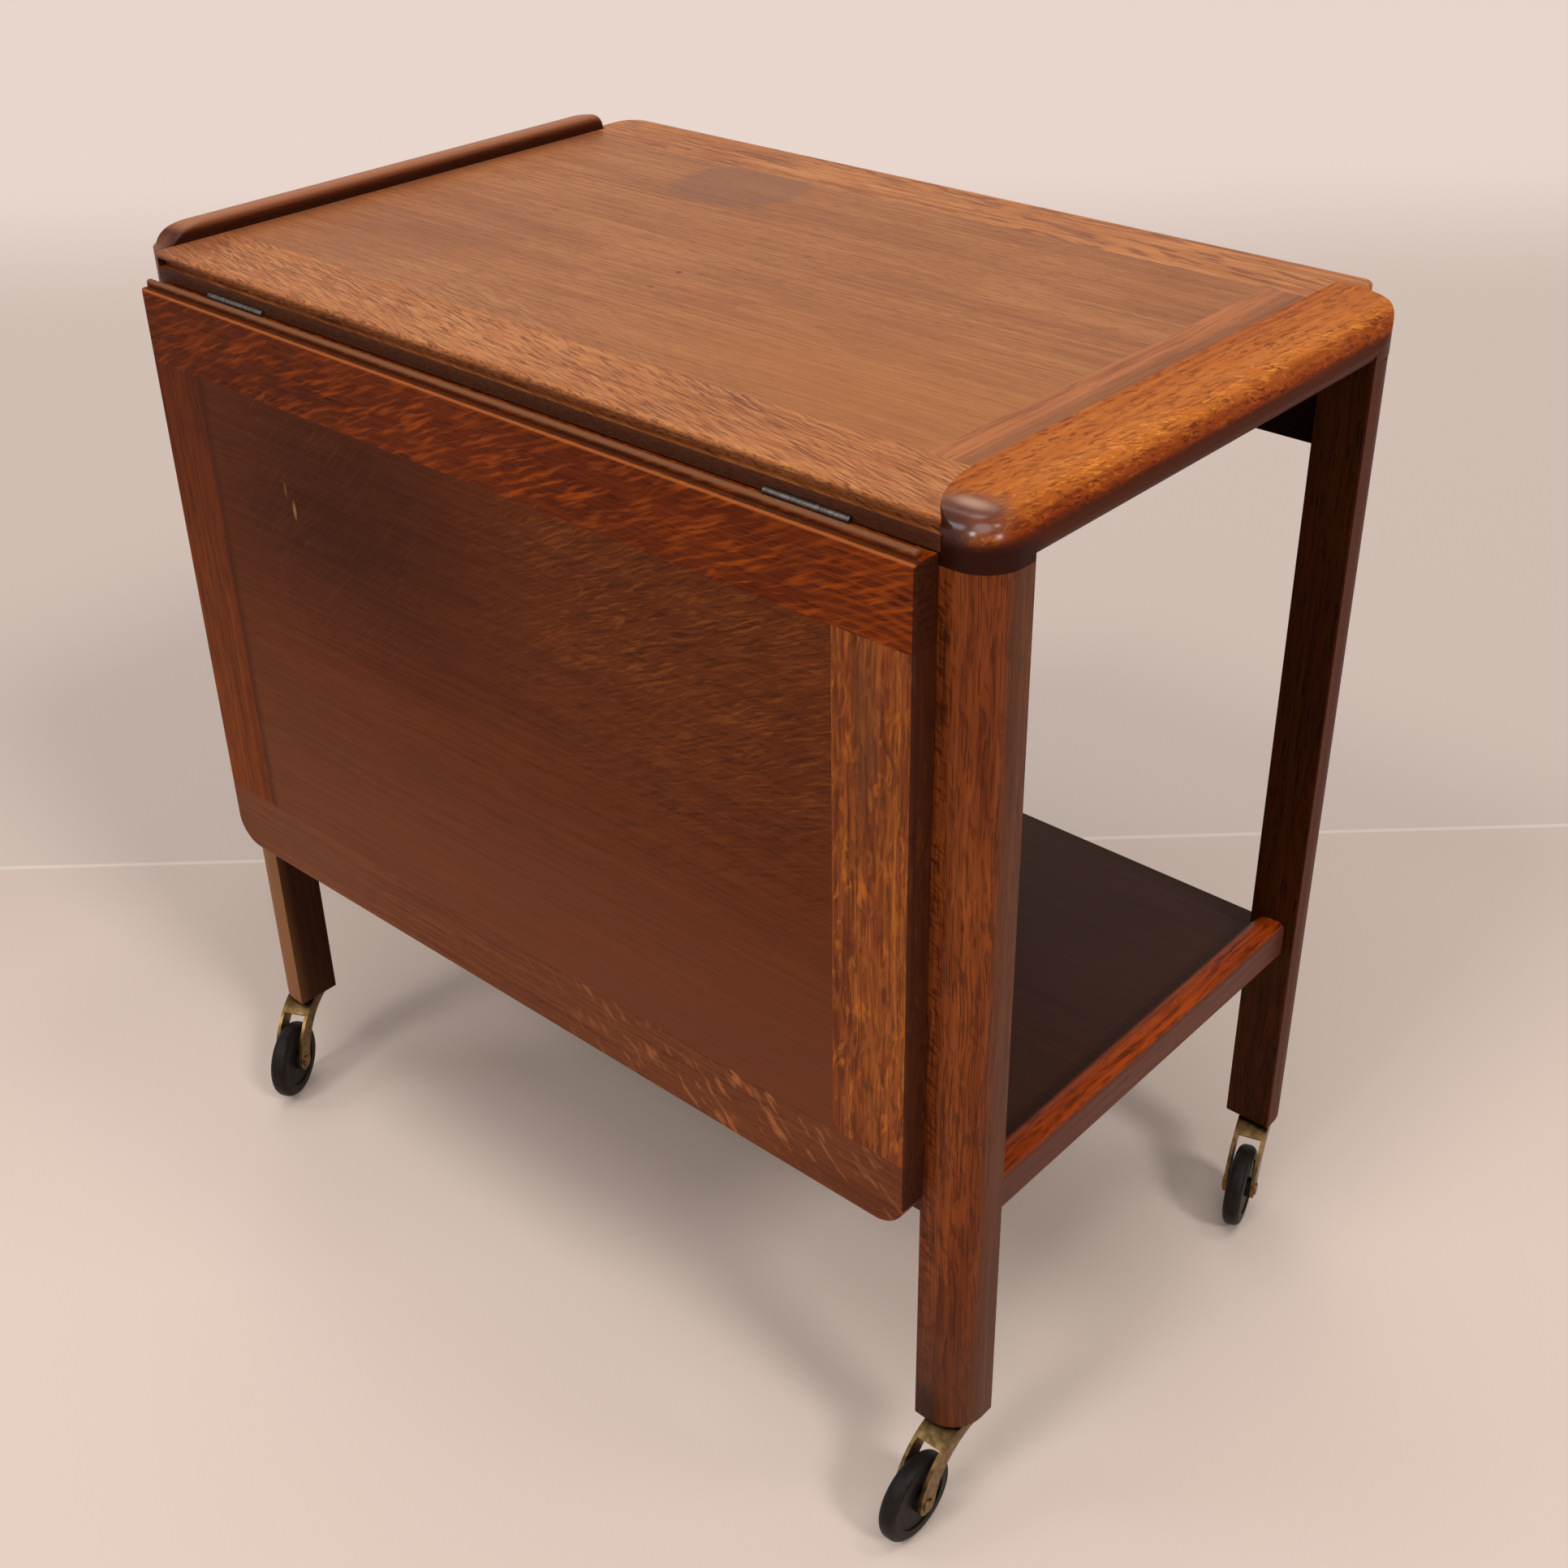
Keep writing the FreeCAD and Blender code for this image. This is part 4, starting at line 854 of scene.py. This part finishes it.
@dataclass
class Studio:
    """The pale room, its soft light and the camera where the photograph was taken.

    Attributes:
        eye: The camera's place in mm.
        azimuth: The camera's turn from the front in degrees.
        elevation: Its look down in degrees.
        roll: Its tilt in degrees.
        sensor: Width of the camera's sensor in mm.
        lens: Focal length in mm.
        shift: Offset of the frame from the lens axis.
        sight: Furthest distance that the camera sees, in m.
        floor_half: Half the width of the floor in m.
        floor_roughness: Roughness of its paint.
        floor_gloss: Specular level of its paint.
        floor_colour: The floor.
        foot_colour: The shaded floor close to the line where the backdrop starts.
        seam_colour: That thin line.
        wall_colour: The pale ground beyond that line.
        far_colour: The ground furthest off.
        wall_away: Distance of that line from the trolley's middle in mm.
        wall_way: Direction to it on the floor.
        seam_half: Half the width of the blend across the line in mm.
        seam_stops: Shares of that blend at which the floor ends, the line lies and the ground beyond starts.
        foot_span: Where the shade in front of the line ends and starts, in mm from it.
        far_span: Where the ground turns to the far colour, in m from the trolley.
        room_colour: Colour of the light from all round.
        wall_level: Its brightness at the level of the horizon.
        ceiling_level: Its brightness overhead.
        left_share: Share of it that comes from the left, which is the bright side of the room.
        right_share: Share of it that is left on the right, which is the dim side of the room.
        lamps: The lights.
    """

    eye: tuple[float, float, float] = (848.89, -897.18, 1099.69)
    azimuth: float = 41.633
    elevation: float = 31.181
    roll: float = -0.799
    sensor: float = 36.0
    lens: float = 46.047
    shift: tuple[float, float] = (-0.01227, -0.02137)
    sight: float = 50.0
    floor_half: float = 12.0
    floor_roughness: float = 0.7
    floor_gloss: float = 0.1
    floor_colour: str = "DFCBBE"
    foot_colour: str = "C9B6AA"
    seam_colour: str = "D8CAC0"
    wall_colour: str = "C6B5AB"
    far_colour: str = "DECCC3"
    wall_away: float = 400.2
    wall_way: tuple[float, float] = (-0.682, 0.731)
    seam_half: float = 10.0
    seam_stops: tuple[float, float, float] = (0.3, 0.5, 0.7)
    foot_span: tuple[float, float] = (30.0, 560.0)
    far_span: tuple[float, float] = (1.9, 2.9)
    room_colour: str = "FFFBF6"
    wall_level: float = 0.46
    ceiling_level: float = 0.36
    left_share: float = 1.25
    right_share: float = 0.72
    lamps: tuple[Lamp, ...] = (Lamp("ceiling panel", (0.1, -0.24, 0.96), 34.0, 0.24),
                               Lamp("right lamp", (0.754, -0.133, 0.643), 12.0, 0.2),
                               Lamp("front lamp", (-0.05, -0.66, 0.75), 12.0, 0.14),
                               Lamp("left window", (-0.54, -0.42, 0.73), 15.0, 0.06, "E6ECFF"),
                               Lamp("rear window", (-0.41, 0.34, 0.86), 18.0, 0.05),
                               Lamp("small lamp", (0.3, 0.18, 0.93), 9.0, 0.06))

    def camera(self) -> None:
        """Adds the camera."""
        data = bpy.data.cameras.new("photo_camera")
        data.sensor_width = self.sensor
        data.lens = self.lens
        data.shift_x, data.shift_y = self.shift
        data.clip_end = self.sight
        eye = bpy.data.objects.new("photo_camera", data)
        turn = Matrix.Rotation(math.radians(self.azimuth), 4, "Z")
        turn = turn @ Matrix.Rotation(math.radians(90.0 - self.elevation), 4, "X")
        turn = turn @ Matrix.Rotation(math.radians(self.roll), 4, "Z")
        eye.matrix_world = Matrix.Translation(Vector(self.eye) * MM) @ turn
        bpy.context.scene.collection.objects.link(eye)
        bpy.context.scene.camera = eye

    def room(self) -> None:
        """Adds the floor, with the line where the backdrop starts and paler ground far off."""
        shape = bmesh.new()
        bmesh.ops.create_grid(shape, x_segments=1, y_segments=1, size=self.floor_half)
        mesh = bpy.data.meshes.new("floor")
        shape.to_mesh(mesh)
        shape.free()
        floor = bpy.data.objects.new("floor", mesh)
        bpy.context.scene.collection.objects.link(floor)
        material = bpy.data.materials.new("pale painted floor")
        material.use_nodes = True
        tree = material.node_tree
        place = add_node(tree, "ShaderNodeTexCoord").outputs["Object"]
        away = add_node(tree, "ShaderNodeVectorMath", {0: place, 1: (*self.wall_way, 0.0)},
                        operation="DOT_PRODUCT").outputs["Value"]
        past = add_node(tree, "ShaderNodeMapRange", {
            "Value": away, "From Min": (self.wall_away - self.seam_half) * MM,
            "From Max": (self.wall_away + self.seam_half) * MM}).outputs[0]
        ramp = add_node(tree, "ShaderNodeValToRGB", {"Fac": past})
        stops = ramp.color_ramp.elements
        before, line, beyond = self.seam_stops
        stops[0].position, stops[0].color = before, linear(self.foot_colour)
        stops[1].position, stops[1].color = beyond, linear(self.wall_colour)
        stops.new(line).color = linear(self.seam_colour)
        further = add_node(tree, "ShaderNodeMapRange", {
            "Value": away, "From Min": self.far_span[0], "From Max": self.far_span[1]},
            interpolation_type="SMOOTHSTEP").outputs[0]
        near = add_node(tree, "ShaderNodeMapRange", {
            "Value": away, "From Min": (self.wall_away - self.foot_span[0]) * MM,
            "From Max": (self.wall_away - self.foot_span[1]) * MM}).outputs[0]
        foot = add_node(tree, "ShaderNodeMix", {
            0: near, 6: ramp.outputs["Color"], 7: linear(self.floor_colour)}, data_type="RGBA")
        ground = add_node(tree, "ShaderNodeMix", {
            0: further, 6: foot.outputs[2], 7: linear(self.far_colour)}, data_type="RGBA")
        shader = tree.nodes["Principled BSDF"]
        tree.links.new(ground.outputs[2], shader.inputs["Base Color"])
        shader.inputs["Roughness"].default_value = self.floor_roughness
        shader.inputs["Specular IOR Level"].default_value = self.floor_gloss
        mesh.materials.append(material)

    def lights(self) -> None:
        """Adds the lamps and the even light of the room."""
        for lamp in self.lamps:
            lamp.add()
        world = bpy.data.worlds.new("pale room")
        world.use_nodes = True
        tree = world.node_tree
        seen = add_node(tree, "ShaderNodeTexCoord").outputs["Generated"]
        way = add_node(tree, "ShaderNodeSeparateXYZ", {0: seen})
        rise = add_node(tree, "ShaderNodeMapRange", {
            "Value": way.outputs["Z"], "To Min": self.wall_level, "To Max": self.ceiling_level}).outputs[0]
        side = add_node(tree, "ShaderNodeMapRange", {
            "Value": way.outputs["X"], "From Min": -1.0, "To Min": self.left_share,
            "To Max": self.right_share}).outputs[0]
        level = add_node(tree, "ShaderNodeMath", {0: rise, 1: side}, operation="MULTIPLY").outputs[0]
        tree.nodes["Background"].inputs["Color"].default_value = linear(self.room_colour)
        tree.links.new(level, tree.nodes["Background"].inputs["Strength"])
        bpy.context.scene.world = world
        bpy.context.scene.view_settings.view_transform = "Standard"


def main() -> None:
    """Dresses the trolley and sets up the room."""
    logging.basicConfig(level=logging.INFO, format="%(message)s")
    for part in (TableTop(), Leaf(), EndFrames(), Hardware()):
        part.finish()
    studio = Studio()
    studio.camera()
    studio.room()
    studio.lights()


if __name__ == "__main__":
    main()
